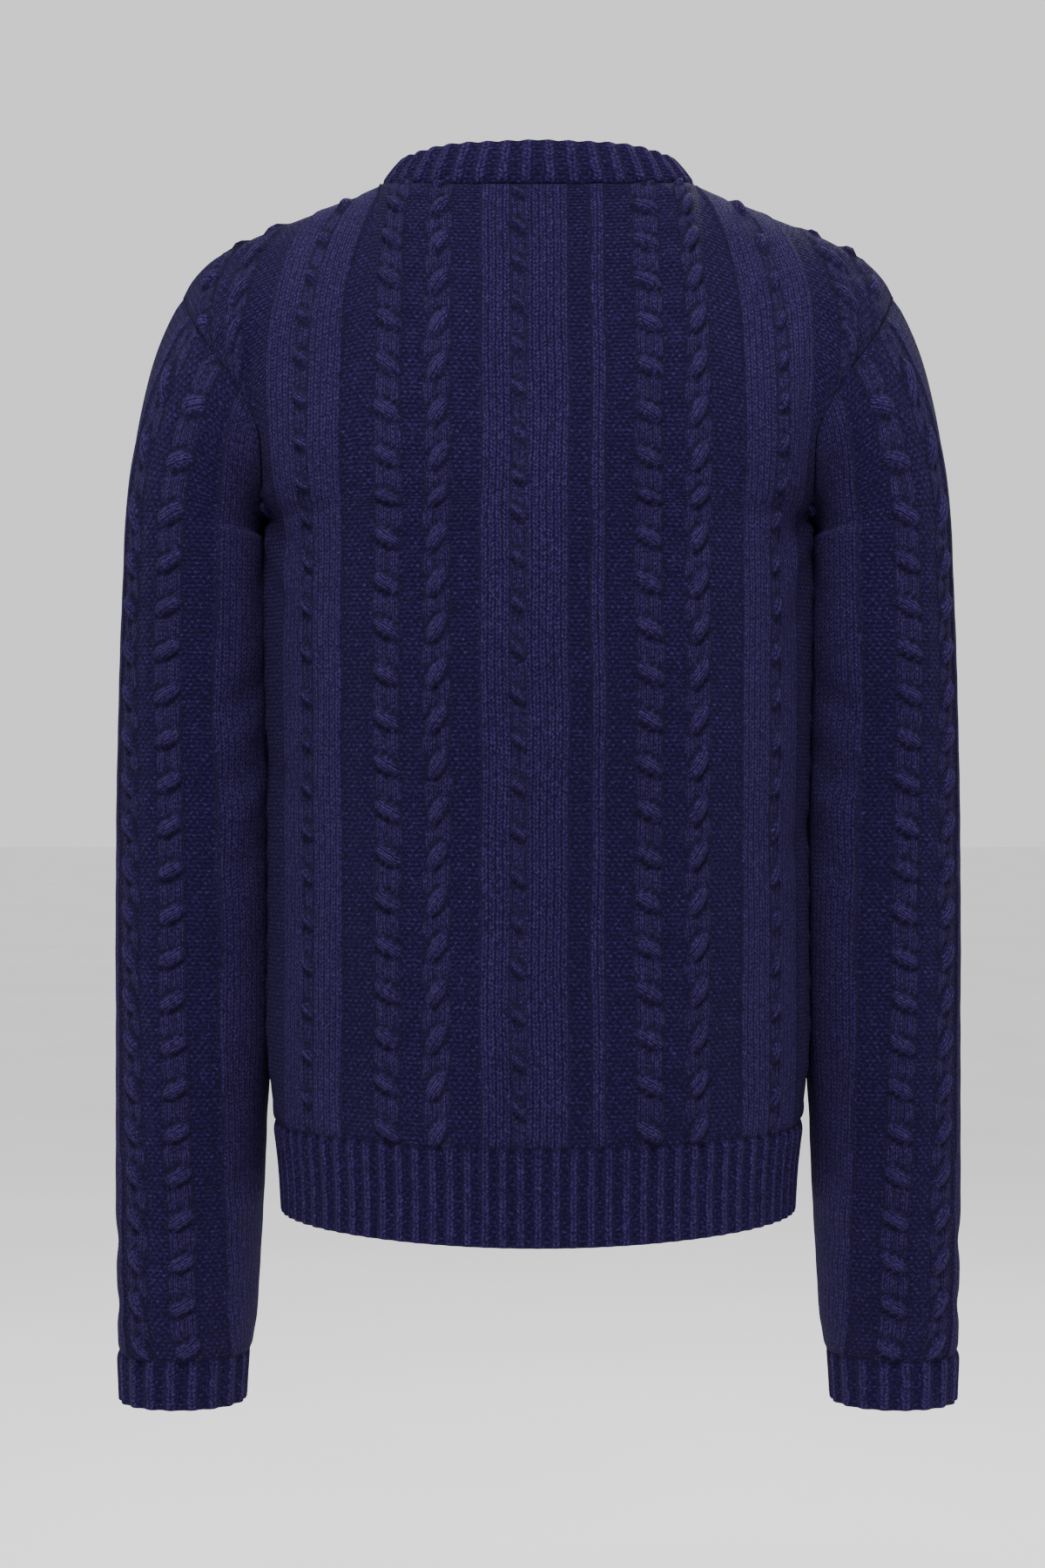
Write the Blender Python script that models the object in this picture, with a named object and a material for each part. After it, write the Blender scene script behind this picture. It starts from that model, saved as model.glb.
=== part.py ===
"""Cable-knit crew-neck cardigan, hollow and buttoned up, as it hangs when it is worn.

Lengths are millimetres and are turned into metres where each mesh is made.
+Z is up, the front faces -Y and +X is the wearer's left.  z = 0 is the level of the
shoulders beside the neck.  Every piece is a closed wall of cloth: its ribs, cables and
knit panels are raised in the outer face, over a plain inner face.
"""
import math

import bmesh
import bpy
import numpy as np
from mathutils import Matrix, Vector
from mathutils.geometry import tessellate_polygon

MM = 0.001

# ---- cloth ---------------------------------------------------------------------------
WALL = 2.4                 # from the purl ground of the outer face to the inner face
NECKBAND_WALL = 2.8
SEAM_GAP = 0.3             # left between two pieces that are sewn together
SIDE_INSET = 0.25          # each panel's edge stands this far back from the side seam
TOP_INSET = 0.17           # and this far below the shoulder seam
KNIT_RISE = 0.9            # smooth knit columns stand this far above the purl ground
RISE_EDGE = 0.8            # half the width of the step between purl and knit
CROSSING = 23.4            # height from one cable crossing to the next
LEAN = 0.72                # rise of a crossing for each millimetre across it
CABLE_CREST, CABLE_VALLEY = 3.1, 1.1
MINI_CREST, MINI_VALLEY = 2.2, 0.5
CORD = 0.24                # from a cable's middle to its crown's edge, as a share of its width
PATTERN_SHIFT = -2.5       # the back's pattern lies a little towards the wearer's right

# ---- colours -------------------------------------------------------------------------
NAVY = (0.030, 0.027, 0.090)
BUTTON_NAVY = (0.022, 0.022, 0.045)

# ---- torso ---------------------------------------------------------------------------
SIDE_POWER = 2.35          # superellipse power of the torso's sections
UNDERARM = -183.0
HEM_RIB = 49.0             # height of the ribbing at the hem
HEM_DIP = 7.0              # the middle of the back hem hangs this much lower
DIP_TOP = 130.0            # height over which that dip fades out
TORSO_SECTIONS = (
    # level, half width, back depth, front depth
    (-555.0, 138.5, 99.0, 103.0),
    (-531.0, 140.0, 97.0, 102.0),
    (-506.0, 143.0, 96.5, 102.5),
    (-460.0, 144.5, 94.0, 101.5),
    (-400.0, 144.0, 92.0, 102.0),
    (-320.0, 144.5, 93.0, 106.0),
    (-250.0, 146.0, 96.0, 112.0),
    (UNDERARM, 147.0, 95.0, 112.0),
)
BACK_MIDDLE = (
    # depth, level: the centre line of the back from the underarm level to the neck seam
    (95.0, UNDERARM), (92.5, -150.0), (88.0, -120.0), (81.5, -88.0), (75.0, -60.0), (62.0, -11.0),
)
FRONT_MIDDLE = (
    # the same for the front, as if it rose to the back's neck seam
    (112.0, UNDERARM), (107.5, -150.0), (99.0, -115.0), (86.0, -80.0), (75.0, -50.0), (58.0, -11.0),
)
NECK_HALF, NECK_LIFT = 85.0, 11.0
NECK_POWER = 2.2
FRONT_NECK_POWER = 1.7
FRONT_NECK_DROP = 69.0     # below the back's neck seam, down the centre front
SHOULDER = (
    # out from the middle, forward, level: the shoulder seam from the neck to the tip
    (85.0, 0.0, 0.0), (96.4, 0.5, -4.8), (127.8, 1.0, -16.6), (158.0, 2.0, -28.5),
    (180.0, 2.5, -40.4), (190.0, 3.0, -51.0), (194.5, 3.0, -59.5),
)
ARMHOLE_BACK = (
    # out from the middle, back, level: from the underarm to the shoulder tip
    (147.0, 0.0, UNDERARM), (147.3, 27.0, -173.0), (146.8, 42.0, -157.0), (148.0, 48.0, -139.0),
    (155.4, 48.0, -121.6), (163.5, 45.0, -107.7), (174.1, 38.0, -94.0), (184.9, 24.0, -78.2),
    (194.5, -3.0, -59.5),
)
ARMHOLE_FRONT = (
    (147.0, 0.0, UNDERARM), (146.6, 25.0, -174.0), (145.4, 40.0, -158.0), (145.6, 47.0, -139.0),
    (150.5, 48.0, -120.0), (159.0, 46.0, -105.0), (171.5, 39.0, -91.0), (184.0, 26.0, -76.0),
    (194.5, 3.0, -59.5),
)
SHOULDER_POWER = 2.4       # how squarely the back turns over the shoulder
EDGE_PULL = 3.5            # how near its edge the armhole shapes the panel

# ---- sleeve --------------------------------------------------------------------------
SLEEVE_POWER = 2.15
SLEEVE_TOP = -192.0        # above this level the sleeve turns in towards the armhole
CUFF_RIB = 27.0
SLEEVE_SECTIONS = (
    # level, centre out from the middle, centre forward, half width, half depth
    (-662.0, 194.6, 10.0, 34.0, 33.0),
    (-635.0, 194.2, 10.0, 35.6, 34.5),
    (-622.0, 193.4, 10.0, 37.2, 37.0),
    (-590.0, 192.4, 10.0, 38.6, 39.0),
    (-540.0, 191.2, 10.0, 40.2, 41.0),
    (-460.0, 190.2, 10.0, 41.0, 44.0),
    (-380.0, 190.0, 9.0, 41.0, 46.0),
    (-300.0, 189.2, 8.0, 40.2, 49.0),
    (-240.0, 188.0, 6.0, 38.9, 51.0),
    (SLEEVE_TOP, 187.0, 4.0, 37.6, 52.0),
)
CAP_TURN = (-0.36, 0.0, -0.08)      # how the cap's last stretch leans towards the body
CAP_FULLNESS = 0.92
CAP_SPREAD = 1.2
UNDERARM_GAP = 0.5

# ---- neckband ------------------------------------------------------------------------
NECKBAND_HEIGHT = 25.0
NECKBAND_LEAN = (
    # angle round the neck, inward share: back, shoulder, front
    (90.0, 0.10), (45.0, 0.34), (0.0, 0.80), (-45.0, 0.62), (-90.0, 0.44),
)
NECKBAND_BOW = 1.6
NECK_CENTRE = (0.0, -8.0)

# ---- ribs ----------------------------------------------------------------------------
RIB_CREST, RIB_VALLEY = 1.3, -0.5
HEM_RIB_PITCH, CUFF_RIB_PITCH, NECK_RIB_PITCH = 9.0, 11.4, 12.6

# ---- button bands and buttons --------------------------------------------------------
BAND_HALF = 15.0
BAND_STEP = WALL + 0.4     # the buttonhole band lies this far out, over the other
STEP_REACH = 32.0          # the buttonhole side rises to its band over this width
BUTTON_COUNT = 7
BUTTON_SIDES = 10
BUTTON_PROFILE = (
    # radius, height: a flat back, a rounded rim and a sunk face
    (8.0, 0.0), (9.0, 1.1), (8.6, 3.2), (6.4, 3.2), (5.9, 2.5),
)
BUTTON_HOLE_RADIUS, BUTTON_HOLE_SPREAD = 1.2, 2.1
TOP_BUTTON, LOW_BUTTON = 13.0, 22.0      # below the neckband's top edge, above the hem
UNDER_PROFILE = (
    # place across the band, how far it stands out
    (-BAND_HALF + 0.4, 0.0), (0.0, 0.0), (BAND_HALF - 0.3, 0.0),
)
UPPER_PROFILE = (
    # the same with a rib along each edge
    (-BAND_HALF + 0.3, 0.0), (-12.6, 0.9), (-10.4, 0.0), (10.4, 0.0), (12.6, 0.9), (BAND_HALF - 0.4, 0.0),
)

# ---- where the stitches change -------------------------------------------------------
HALF_FIELDS = (
    # kind, from, to, lean: out from the middle of the back, and the same on each front
    ("cable", 47.2, 62.0, -1), ("cable", 73.7, 88.5, 1), ("knit", 107.0, 152.0, 0),
    ("mini", 126.2, 133.8, 1),
)
CENTRE_FIELDS = (
    # the same, across the middle of the back
    ("knit", -32.1, -24.5, 0), ("knit", -13.2, 32.1, 0), ("mini", 8.8, 16.4, 1),
)
FRONT_FIELDS = (("knit", 27.0, 34.6, 0),) + HALF_FIELDS
SLEEVE_FIELDS = (
    # out from the middle of the sleeve, towards the back and towards the front
    ("knit", 19.0, 26.5, 0), ("cable", 30.0, 44.8, -1), ("cable", 56.5, 71.3, 1),
)
SLEEVE_KNIT = 88.0         # from here to the underarm the sleeve is smooth knit
PAIR_PHASE, MINI_PHASE = 6.0, -5.0   # level of a crossing, and of a small one, above the rib

# ---- how finely the walls are divided ------------------------------------------------
SAMPLES = 181              # points along each row of a form while it is worked out
RIB_JOIN = 3.0             # height of the strip between the ribbing and what is above it
TOP_JOIN = 8.0             # height of the strip below a seam along the top
EDGE_LEVELS = (
    # rows of the body's side edges: hem to underarm, then up the armhole to the shoulder tip
    -470.0, -430.0, -390.0, -350.0, -310.0, -270.0, -230.0, -204.0, UNDERARM, -179.0, -173.0,
    -165.0, -155.0, -144.0, -132.0, -120.0, -108.0, -97.0, -87.0, -78.0, -70.0, -64.0, -59.6,
)
SLEEVE_LEVELS = (-605.0, -570.0, -525.0, -470.0, -410.0, -350.0, -290.0, -240.0, SLEEVE_TOP)
CAP_ROWS = (12.0, 26.0, 40.0, 54.0, 68.0, 82.0)
BACK_PLAIN = (68.0, 97.5, 118.0, 142.0)
FRONT_PLAIN = (42.0, 68.0, 97.5, 118.0, 142.0)
EDGE_SHARES = (0.30, 0.65)           # columns between the last knit panel and a side edge
SLEEVE_PLAIN = (8.0, 50.5, 79.0)
SLEEVE_SHARES = (0.35, 0.62, 0.82, 1.0)      # columns from the smooth knit's edge to the underarm
INNER_BACK = (20.0, 45.0, 66.0, 78.0, 88.0, 98.0, 108.0, 118.0, 130.0, 147.0)
INNER_FRONT = (45.0, 68.0, 84.0, 97.5, 107.8, 118.0, 130.0, 147.0)
INNER_SLEEVE = (30.0, 62.0)
SHOULDER_PARTS, BACK_NECK_PARTS, FRONT_NECK_PARTS = 7, 9, 14
NECKBAND_ROWS = (3.0, 22.5)
BAND_ROWS = (0.0, 25.0, 50.0, 90.0, 130.0, 170.0, 210.0, 250.0, 290.0, 330.0, 365.0, 400.0, 430.0, 460.0)


# ---- curves --------------------------------------------------------------------------
def smooth(position, knots, values):
    """Cubic curve through rows of values at rising knots."""
    knots, values = np.asarray(knots, float), np.asarray(values, float)
    position = np.clip(np.asarray(position, float), knots[0], knots[-1])
    slopes = np.gradient(values, knots, axis=0)
    cell = np.clip(np.searchsorted(knots, position, side="right") - 1, 0, len(knots) - 2)
    span = knots[cell + 1] - knots[cell]
    share = (position - knots[cell]) / span
    if values.ndim > 1:
        span, share = np.expand_dims(span, -1), np.expand_dims(share, -1)
    low, high = values[cell], values[cell + 1]
    bend_low, bend_high = slopes[cell] * span, slopes[cell + 1] * span
    return (low * (2 * share ** 3 - 3 * share ** 2 + 1) + high * (3 * share ** 2 - 2 * share ** 3)
            + bend_low * (share ** 3 - 2 * share ** 2 + share) + bend_high * (share ** 3 - share ** 2))


def ease(value):
    value = np.clip(value, 0.0, 1.0)
    return value * value * (3.0 - 2.0 * value)


def lengths(points):
    """Running length along a polyline."""
    steps = np.linalg.norm(np.diff(points, axis=0), axis=1)
    return np.concatenate(([0.0], np.cumsum(steps)))


def evenly(points, count):
    """The same line with evenly spaced points."""
    run = lengths(points)
    wanted = np.linspace(0.0, run[-1], count)
    return np.stack([np.interp(wanted, run, points[:, axis]) for axis in range(3)], axis=1)


def through(table, count=81):
    """A smooth line through the rows of a table, evenly spaced."""
    points = np.asarray(table, float)
    return evenly(smooth(np.linspace(0.0, lengths(points)[-1], 4 * count), lengths(points), points), count)


def superellipse(half_x, half_y, power, start, end, count=181):
    """An arc from angle start to end, in degrees; 0 lies along x and 90 along y."""
    angle = np.radians(np.linspace(start, end, count))
    cos, sin = np.cos(angle), np.sin(angle)
    return np.stack([half_x * np.sign(cos) * np.abs(cos) ** (2 / power),
                     half_y * np.sign(sin) * np.abs(sin) ** (2 / power)], axis=1)


# ---- smooth forms --------------------------------------------------------------------
class Form:
    """A smooth sheet: u runs out along its rows, v runs up from row to row."""

    COLUMNS = 97

    def __init__(self, rows, side, flat_axis=0, steady=0):
        """side turns the normals outward; the first column runs square to flat_axis.

        Over the last few columns (steady) rows and columns run nearly the same way at an
        armhole, so they keep the normal of the column before them.
        """
        self.grid = np.array([evenly(np.asarray(row), self.COLUMNS) for row in rows])
        self.widths = np.array([lengths(row)[-1] for row in self.grid])
        gaps = np.linalg.norm(np.diff(self.grid, axis=0), axis=2).mean(axis=1)
        self.heights = np.concatenate(([0.0], np.cumsum(gaps)))
        across = np.gradient(self.grid, axis=1)
        across[:, 0, [axis for axis in range(3) if axis != flat_axis]] = 0.0
        normals = np.cross(np.gradient(self.grid, axis=0), across) * side
        self.normals = normals / np.linalg.norm(normals, axis=2, keepdims=True)
        if steady:
            self.normals[:, -steady:] = self.normals[:, -steady - 1:-steady]
        self.top = float(self.heights[-1])

    def width(self, v):
        return float(np.interp(v, self.heights, self.widths))

    def height_at(self, level):
        """Height of the row whose outer end lies at a level."""
        return float(np.interp(level, self.grid[:, -1, 2], self.heights))

    def place(self, u, v):
        """The point at (u, v) and the outward direction there."""
        row = float(np.interp(v, self.heights, np.arange(len(self.heights))))
        column = min(max(u / self.width(v), 0.0), 1.0) * (self.COLUMNS - 1)
        low_row, low_column = min(int(row), len(self.heights) - 2), min(int(column), self.COLUMNS - 2)
        up, out = row - low_row, column - low_column
        found = []
        for grid in (self.grid, self.normals):
            lower = grid[low_row, low_column] * (1 - out) + grid[low_row, low_column + 1] * out
            upper = grid[low_row + 1, low_column] * (1 - out) + grid[low_row + 1, low_column + 1] * out
            found.append(lower * (1 - up) + upper * up)
        return found[0], found[1] / np.linalg.norm(found[1])


class Sheet:
    """A sheet with u on both sides of its middle: a form and its mirror image, or two forms."""

    def __init__(self, form, other=None):
        self.form, self.other = form, other
        self.top = form.top

    def half(self, u):
        return self.form if u >= 0 or self.other is None else self.other

    def width(self, u, v):
        return self.half(u).width(v)

    def place(self, u, v):
        point, normal = self.half(u).place(abs(u), v)
        if u < 0 and self.other is None:
            return point * (-1, 1, 1), normal * (-1, 1, 1)
        return point, normal

    def lifted(self, u, v, lift):
        point, normal = self.place(u, v)
        return point + normal * lift


def neck_curve(depth):
    """Half of the neck seam, from its middle to the shoulder."""
    plan = superellipse(NECK_HALF, depth, NECK_POWER, 90.0, 0.0)
    level = -NECK_LIFT * (np.abs(plan[:, 1]) / depth) ** 1.5
    return np.column_stack((plan, level))


def torso_rows(side):
    """Rows of half the back (side 1) or the front (side -1), from the hem to the underarm."""
    table = np.asarray(TORSO_SECTIONS)
    depths = table[:, 2 if side > 0 else 3]
    rows = []
    for level in np.linspace(table[0, 0], UNDERARM, 44):
        plan = superellipse(smooth(level, table[:, 0], table[:, 1]), smooth(level, table[:, 0], depths),
                            SIDE_POWER, 90.0, 0.0)
        row = evenly(np.column_stack((plan, np.full(len(plan), level))), SAMPLES)
        if side > 0:
            fade = ease(1.0 - (level - table[0, 0]) / DIP_TOP)
            row[:, 2] -= HEM_DIP * fade * (1.0 - ease(np.linspace(0.0, 1.0, SAMPLES)))
        rows.append(row)
    return rows


def panel_form(side, middle, armhole):
    """Half of the back or the front, hem to shoulder seam; the front as if it had no neck."""
    rows = torso_rows(side)
    bottom = rows.pop()
    shoulder = through(SHOULDER) * (1.0, -side, 1.0)
    top = evenly(np.vstack((neck_curve(middle[-1][0]), shoulder[1:])), SAMPLES)
    middle_line = np.array([(0.0, depth, level) for depth, level in middle])
    edge = through(armhole, SAMPLES)
    hold = (np.linspace(0.0, 1.0, SAMPLES) ** EDGE_PULL)[:, None]
    for turn in np.linspace(0.0, 1.0, 30) ** 1.25:
        angle = turn * math.pi / 2
        climb = math.sin(angle) ** (2 / SHOULDER_POWER)
        level = UNDERARM + climb * (middle_line[-1, 2] - UNDERARM)
        middle_now = smooth(level, middle_line[:, 2], middle_line)
        edge_level = UNDERARM + climb * (edge[-1, 2] - UNDERARM)
        edge_now = np.array([np.interp(edge_level, edge[:, 2], edge[:, axis]) for axis in range(3)])
        rise = np.array(((edge_now[0] - edge[0, 0]) / (edge[-1, 0] - edge[0, 0]),
                         1.0 - math.cos(angle) ** (2 / SHOULDER_POWER), climb))
        blend = bottom * (1 - rise) + top * rise
        middle_off = middle_now - (bottom[0] * (1 - rise) + top[0] * rise)
        edge_off = edge_now - (bottom[-1] * (1 - rise) + top[-1] * rise)
        rows.append(blend + middle_off * (1 - hold) + edge_off * hold)
    return Form([row * (1.0, side, 1.0) for row in rows], side, steady=3)


def sleeve_form(side, panel):
    """The back (side 1) or front (side -1) half of the left sleeve, cuff to armhole."""
    table = np.asarray(SLEEVE_SECTIONS)
    rows = []
    for level in np.linspace(table[0, 0], SLEEVE_TOP, 44):
        out, forward, half_width, half_depth = smooth(level, table[:, 0], table[:, 1:])
        plan = superellipse(half_width, half_depth, SLEEVE_POWER, 0.0, 180.0) * (1.0, side) + (out, -forward)
        rows.append(evenly(np.column_stack((plan, np.full(len(plan), level))), SAMPLES))
    start = rows[-1]
    share = np.linspace(0.0, 1.0, SAMPLES)
    levels = np.linspace(panel.grid[-1, -1, 2], UNDERARM, 4 * SAMPLES)
    heights = [panel.height_at(level) for level in levels]
    seam = evenly(np.array([panel.place(panel.width(v), v)[0] for v in heights]), SAMPLES)
    run = share ** CAP_SPREAD * (SAMPLES - 1)
    end = np.stack([np.interp(run, np.arange(SAMPLES), seam[:, axis]) for axis in range(3)], axis=1)
    reach = np.linalg.norm(end - start, axis=1, keepdims=True)
    leave = start - rows[-2]
    leave = leave / np.linalg.norm(leave, axis=1, keepdims=True) * reach * CAP_FULLNESS
    arrive = (end - start) / reach + CAP_TURN
    arrive = arrive / np.linalg.norm(arrive, axis=1, keepdims=True) * reach * CAP_FULLNESS
    for t in np.linspace(0.0, 1.0, 17)[1:]:
        rows.append(start * (2 * t ** 3 - 3 * t ** 2 + 1) + end * (3 * t ** 2 - 2 * t ** 3)
                    + leave * (t ** 3 - 2 * t ** 2 + t) + arrive * (t ** 3 - t ** 2))
    return Form(rows, -side, flat_axis=1)


# ---- walls ---------------------------------------------------------------------------
class Wall:
    """Points and faces of one closed wall; a chain is a list of (position, vertex)."""

    def __init__(self, place):
        """place turns (u, v, lift) into a point."""
        self.place, self.points, self.faces = place, [], []

    def add(self, point):
        self.points.append(np.asarray(point, float))
        return len(self.points) - 1

    def node(self, u, v, lift):
        return self.add(self.place(u, v, lift))

    def fill(self, left, right):
        """Faces between two chains that run the same way."""
        i = j = 0
        while i < len(left) - 1 or j < len(right) - 1:
            left_next = i < len(left) - 1 and (
                j == len(right) - 1 or left[i][0] + left[i + 1][0] <= right[j][0] + right[j + 1][0])
            corner = left[i + 1][1] if left_next else right[j + 1][1]
            self.faces.append((left[i][1], right[j][1], corner))
            i, j = (i + 1, j) if left_next else (i, j + 1)

    def fill_all(self, chains):
        for left, right in zip(chains, chains[1:]):
            self.fill(left, right)

    def fill_near(self, left, right):
        """The same with the shorter of the two ways across at each step."""
        def span(one, other):
            return np.linalg.norm(self.points[one[1]] - self.points[other[1]])
        i = j = 0
        while i < len(left) - 1 or j < len(right) - 1:
            left_next = i < len(left) - 1 and (
                j == len(right) - 1 or span(left[i + 1], right[j]) <= span(left[i], right[j + 1]))
            corner = left[i + 1][1] if left_next else right[j + 1][1]
            self.faces.append((left[i][1], right[j][1], corner))
            i, j = (i + 1, j) if left_next else (i, j + 1)

    def rim(self, outer, inner):
        """The edge between two chains of as many nodes, split from low outside to high inside."""
        for i in range(len(outer) - 1):
            low_out, high_out, low_in, high_in = outer[i][1], outer[i + 1][1], inner[i][1], inner[i + 1][1]
            if self.points[low_out][2] > self.points[high_out][2]:
                low_out, high_out, low_in, high_in = high_out, low_out, high_in, low_in
            self.faces += [(low_out, low_in, high_in), (low_out, high_in, high_out)]

    def lay(self, strand, plain_rows, low, high):
        """The nodes of a strand between two heights."""
        rows = strand.rows(low, high) if strand.rows else [(v, strand.lift) for v in plain_rows]
        rows = [row for row in rows if low + 1.5 < row[0] < high - 1.5]
        ends = (0.0, 0.0) if strand.rows else (strand.lift, strand.lift)
        rows = [(low, ends[0])] + rows + [(high, ends[1])]
        return Laid(strand, [(v, self.node(strand.across(v), v, lift)) for v, lift in rows])

    def fill_laid(self, laid, closed=False):
        pairs = list(zip(laid, laid[1:] + laid[:1])) if closed else list(zip(laid, laid[1:]))
        for left, right in pairs:
            if right.strand.twin:
                self.fill(left.sloped(), right.sloped())
            else:
                self.fill(left.chain, right.chain)

    def object(self, name, colour, roughness, mirror=False):
        points = np.array(self.points) * MM * ((-1, 1, 1) if mirror else (1, 1, 1))
        mesh = bpy.data.meshes.new(name)
        mesh.from_pydata(points.tolist(), [], self.faces)
        return finish(name, mesh, colour, roughness)


class Strand:
    """One lengthwise column of a wall: where it runs, how far it stands out, its own rows."""

    def __init__(self, u, lift=0.0, rows=None, offset=0.0, twin=False):
        self.u, self.lift, self.rows, self.offset, self.twin = u, lift, rows, offset, twin

    def across(self, v):
        return self.u(v) if callable(self.u) else self.u


class Laid:
    """A strand's nodes in a wall."""

    def __init__(self, strand, chain):
        self.strand, self.chain = strand, chain

    def sloped(self):
        """The nodes by their height along the slope of a cable's crossings."""
        return [(v - self.strand.offset, vertex) for v, vertex in self.chain]

    def start(self):
        return self.strand.across(self.chain[0][0]), self.chain[0][1]

    def end(self):
        return self.strand.across(self.chain[-1][0]), self.chain[-1][1]


def finish(name, mesh, colour, roughness):
    """One object with its own material, its faces turned outward."""
    shape = bmesh.new()
    shape.from_mesh(mesh)
    bmesh.ops.recalc_face_normals(shape, faces=shape.faces)
    if shape.calc_volume(signed=True) < 0:
        bmesh.ops.reverse_faces(shape, faces=shape.faces)
    shape.to_mesh(mesh)
    shape.free()
    mesh.shade_smooth()
    mesh.set_sharp_from_angle(angle=math.radians(50))
    obj = bpy.data.objects.new(name, mesh)
    bpy.context.scene.collection.objects.link(obj)
    material = bpy.data.materials.new(name)
    material.use_nodes = True
    shader = material.node_tree.nodes["Principled BSDF"]
    shader.inputs["Base Color"].default_value = (*colour, 1.0)
    shader.inputs["Roughness"].default_value = roughness
    shader.inputs["Metallic"].default_value = 0.0
    mesh.materials.clear()
    mesh.materials.append(material)
    return obj


# ---- stitch columns ------------------------------------------------------------------
def crossing_rows(phase, crest, valley):
    """Rows of one strand of a cable: a crest and a valley in each crossing."""
    def rows(low, high):
        steps = range(-4, 2 * int((high - low) / CROSSING) + 4)
        return [(low + phase + step * CROSSING / 2, crest if step % 2 == 0 else valley) for step in steps]
    return rows


def strands(fields):
    """Columns for a table of fields: a step at each side of a knit panel, four strands to a cable."""
    found = []
    for kind, start, end, lean in fields:
        if kind == "knit":
            found += [Strand(start - RISE_EDGE), Strand(start + RISE_EDGE, KNIT_RISE),
                      Strand(end - RISE_EDGE, KNIT_RISE), Strand(end + RISE_EDGE)]
            continue
        small = kind == "mini"
        base, phase = (KNIT_RISE, MINI_PHASE) if small else (0.0, PAIR_PHASE)
        crest, valley = (MINI_CREST, MINI_VALLEY) if small else (CABLE_CREST, CABLE_VALLEY)
        middle, reach = (start + end) / 2, (end - start) * CORD
        found.append(Strand(start, base))
        for place, twin in ((middle - reach, False), (middle + reach, True)):
            offset = lean * LEAN * (place - middle)
            found.append(Strand(place, 0.0, crossing_rows(phase + offset, crest, valley), offset, twin))
        found.append(Strand(end, base))
    return found


def shifted(fields, shift):
    return tuple((kind, start + shift, end + shift, lean) for kind, start, end, lean in fields)


def mirrored(fields):
    return tuple((kind, -end, -start, -lean) for kind, start, end, lean in fields)


def plain(places, lift=0.0):
    return [Strand(place, lift) for place in places]


def towards_edge(sheet, side, start, shares, lift=0.0):
    """Columns between a fixed one and the sheet's outer edge on one side."""
    return [Strand(lambda v, share=share: side * (start + share * (sheet.width(side, v) - start)), lift)
            for share in shares]


def in_order(columns, v):
    return sorted(columns, key=lambda strand: strand.across(v))


def rib_columns(width, pitch):
    """(share of the width, lift) of the crests and of the valleys between the ribs that fill it."""
    count = round(width / pitch)
    crests = [((rib + 0.5) / count, RIB_CREST) for rib in range(count)]
    valleys = [(rib / count, RIB_VALLEY) for rib in range(1, count)]
    return crests, valleys


# ---- body panels ---------------------------------------------------------------------
def neckband_frame(point):
    """The ways the neckband rises and faces at a point of its seam, by its place round the neck."""
    out, forward = point[0] - NECK_CENTRE[0], point[1] - NECK_CENTRE[1]
    turn, share = np.array(NECKBAND_LEAN)[::-1].T
    share = float(smooth(math.degrees(math.atan2(forward, abs(out))), turn, share))
    away = np.array([out * ease((abs(out) - BAND_HALF) / 30.0), forward, 0.0])
    away = away / np.linalg.norm(away)
    upright = np.array([0.0, 0.0, 1.0])
    steep = math.sqrt(1.0 - share * share)
    return upright * steep - away * share, away * steep + upright * share


class Neckline:
    """The neck seam on the back and on the front, in each panel's own (u, v)."""

    def __init__(self, back, front):
        self.back, self.front = back, front
        self.back_corner = lengths(neck_curve(BACK_MIDDLE[-1][0]))[-1]
        self.front_corner = lengths(neck_curve(FRONT_MIDDLE[-1][0]))[-1]
        self.drop = front.top - float(np.interp(-NECK_LIFT - FRONT_NECK_DROP,
                                                front.form.grid[:, 0, 2], front.form.heights))

    def front_height(self, u, margin=0.0):
        """Height of the front's neck seam, or of a line a margin outside it."""
        out = (abs(u) / (self.front_corner + margin)) ** FRONT_NECK_POWER
        share = max(0.0, 1.0 - out) ** (1 / FRONT_NECK_POWER)
        return self.front.top - (self.drop + margin) * share

    def front_samples(self):
        """(u, v) along the front's neck seam, from the button band to the shoulder."""
        start = math.asin((BAND_HALF / self.front_corner) ** (FRONT_NECK_POWER / 2))
        return [(self.front_corner * math.sin(angle) ** (2 / FRONT_NECK_POWER),
                 self.front.top - self.drop * abs(math.cos(angle)) ** (2 / FRONT_NECK_POWER))
                for angle in np.linspace(start, math.pi / 2, FRONT_NECK_PARTS + 1)]

    def back_samples(self):
        """(u, v) along the back's neck seam, from its middle to the shoulder."""
        return [(share * self.back_corner, self.back.top)
                for share in np.linspace(0.0, 1.0, BACK_NECK_PARTS + 1)]


def shoulder_samples(sheet, corner):
    """(u, v) along the shoulder seam, between the neck and the tip."""
    width = sheet.width(1, sheet.top)
    return [(corner + share * (width - corner), sheet.top)
            for share in np.linspace(0.0, 1.0, SHOULDER_PARTS + 1)[1:-1]]


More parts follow.
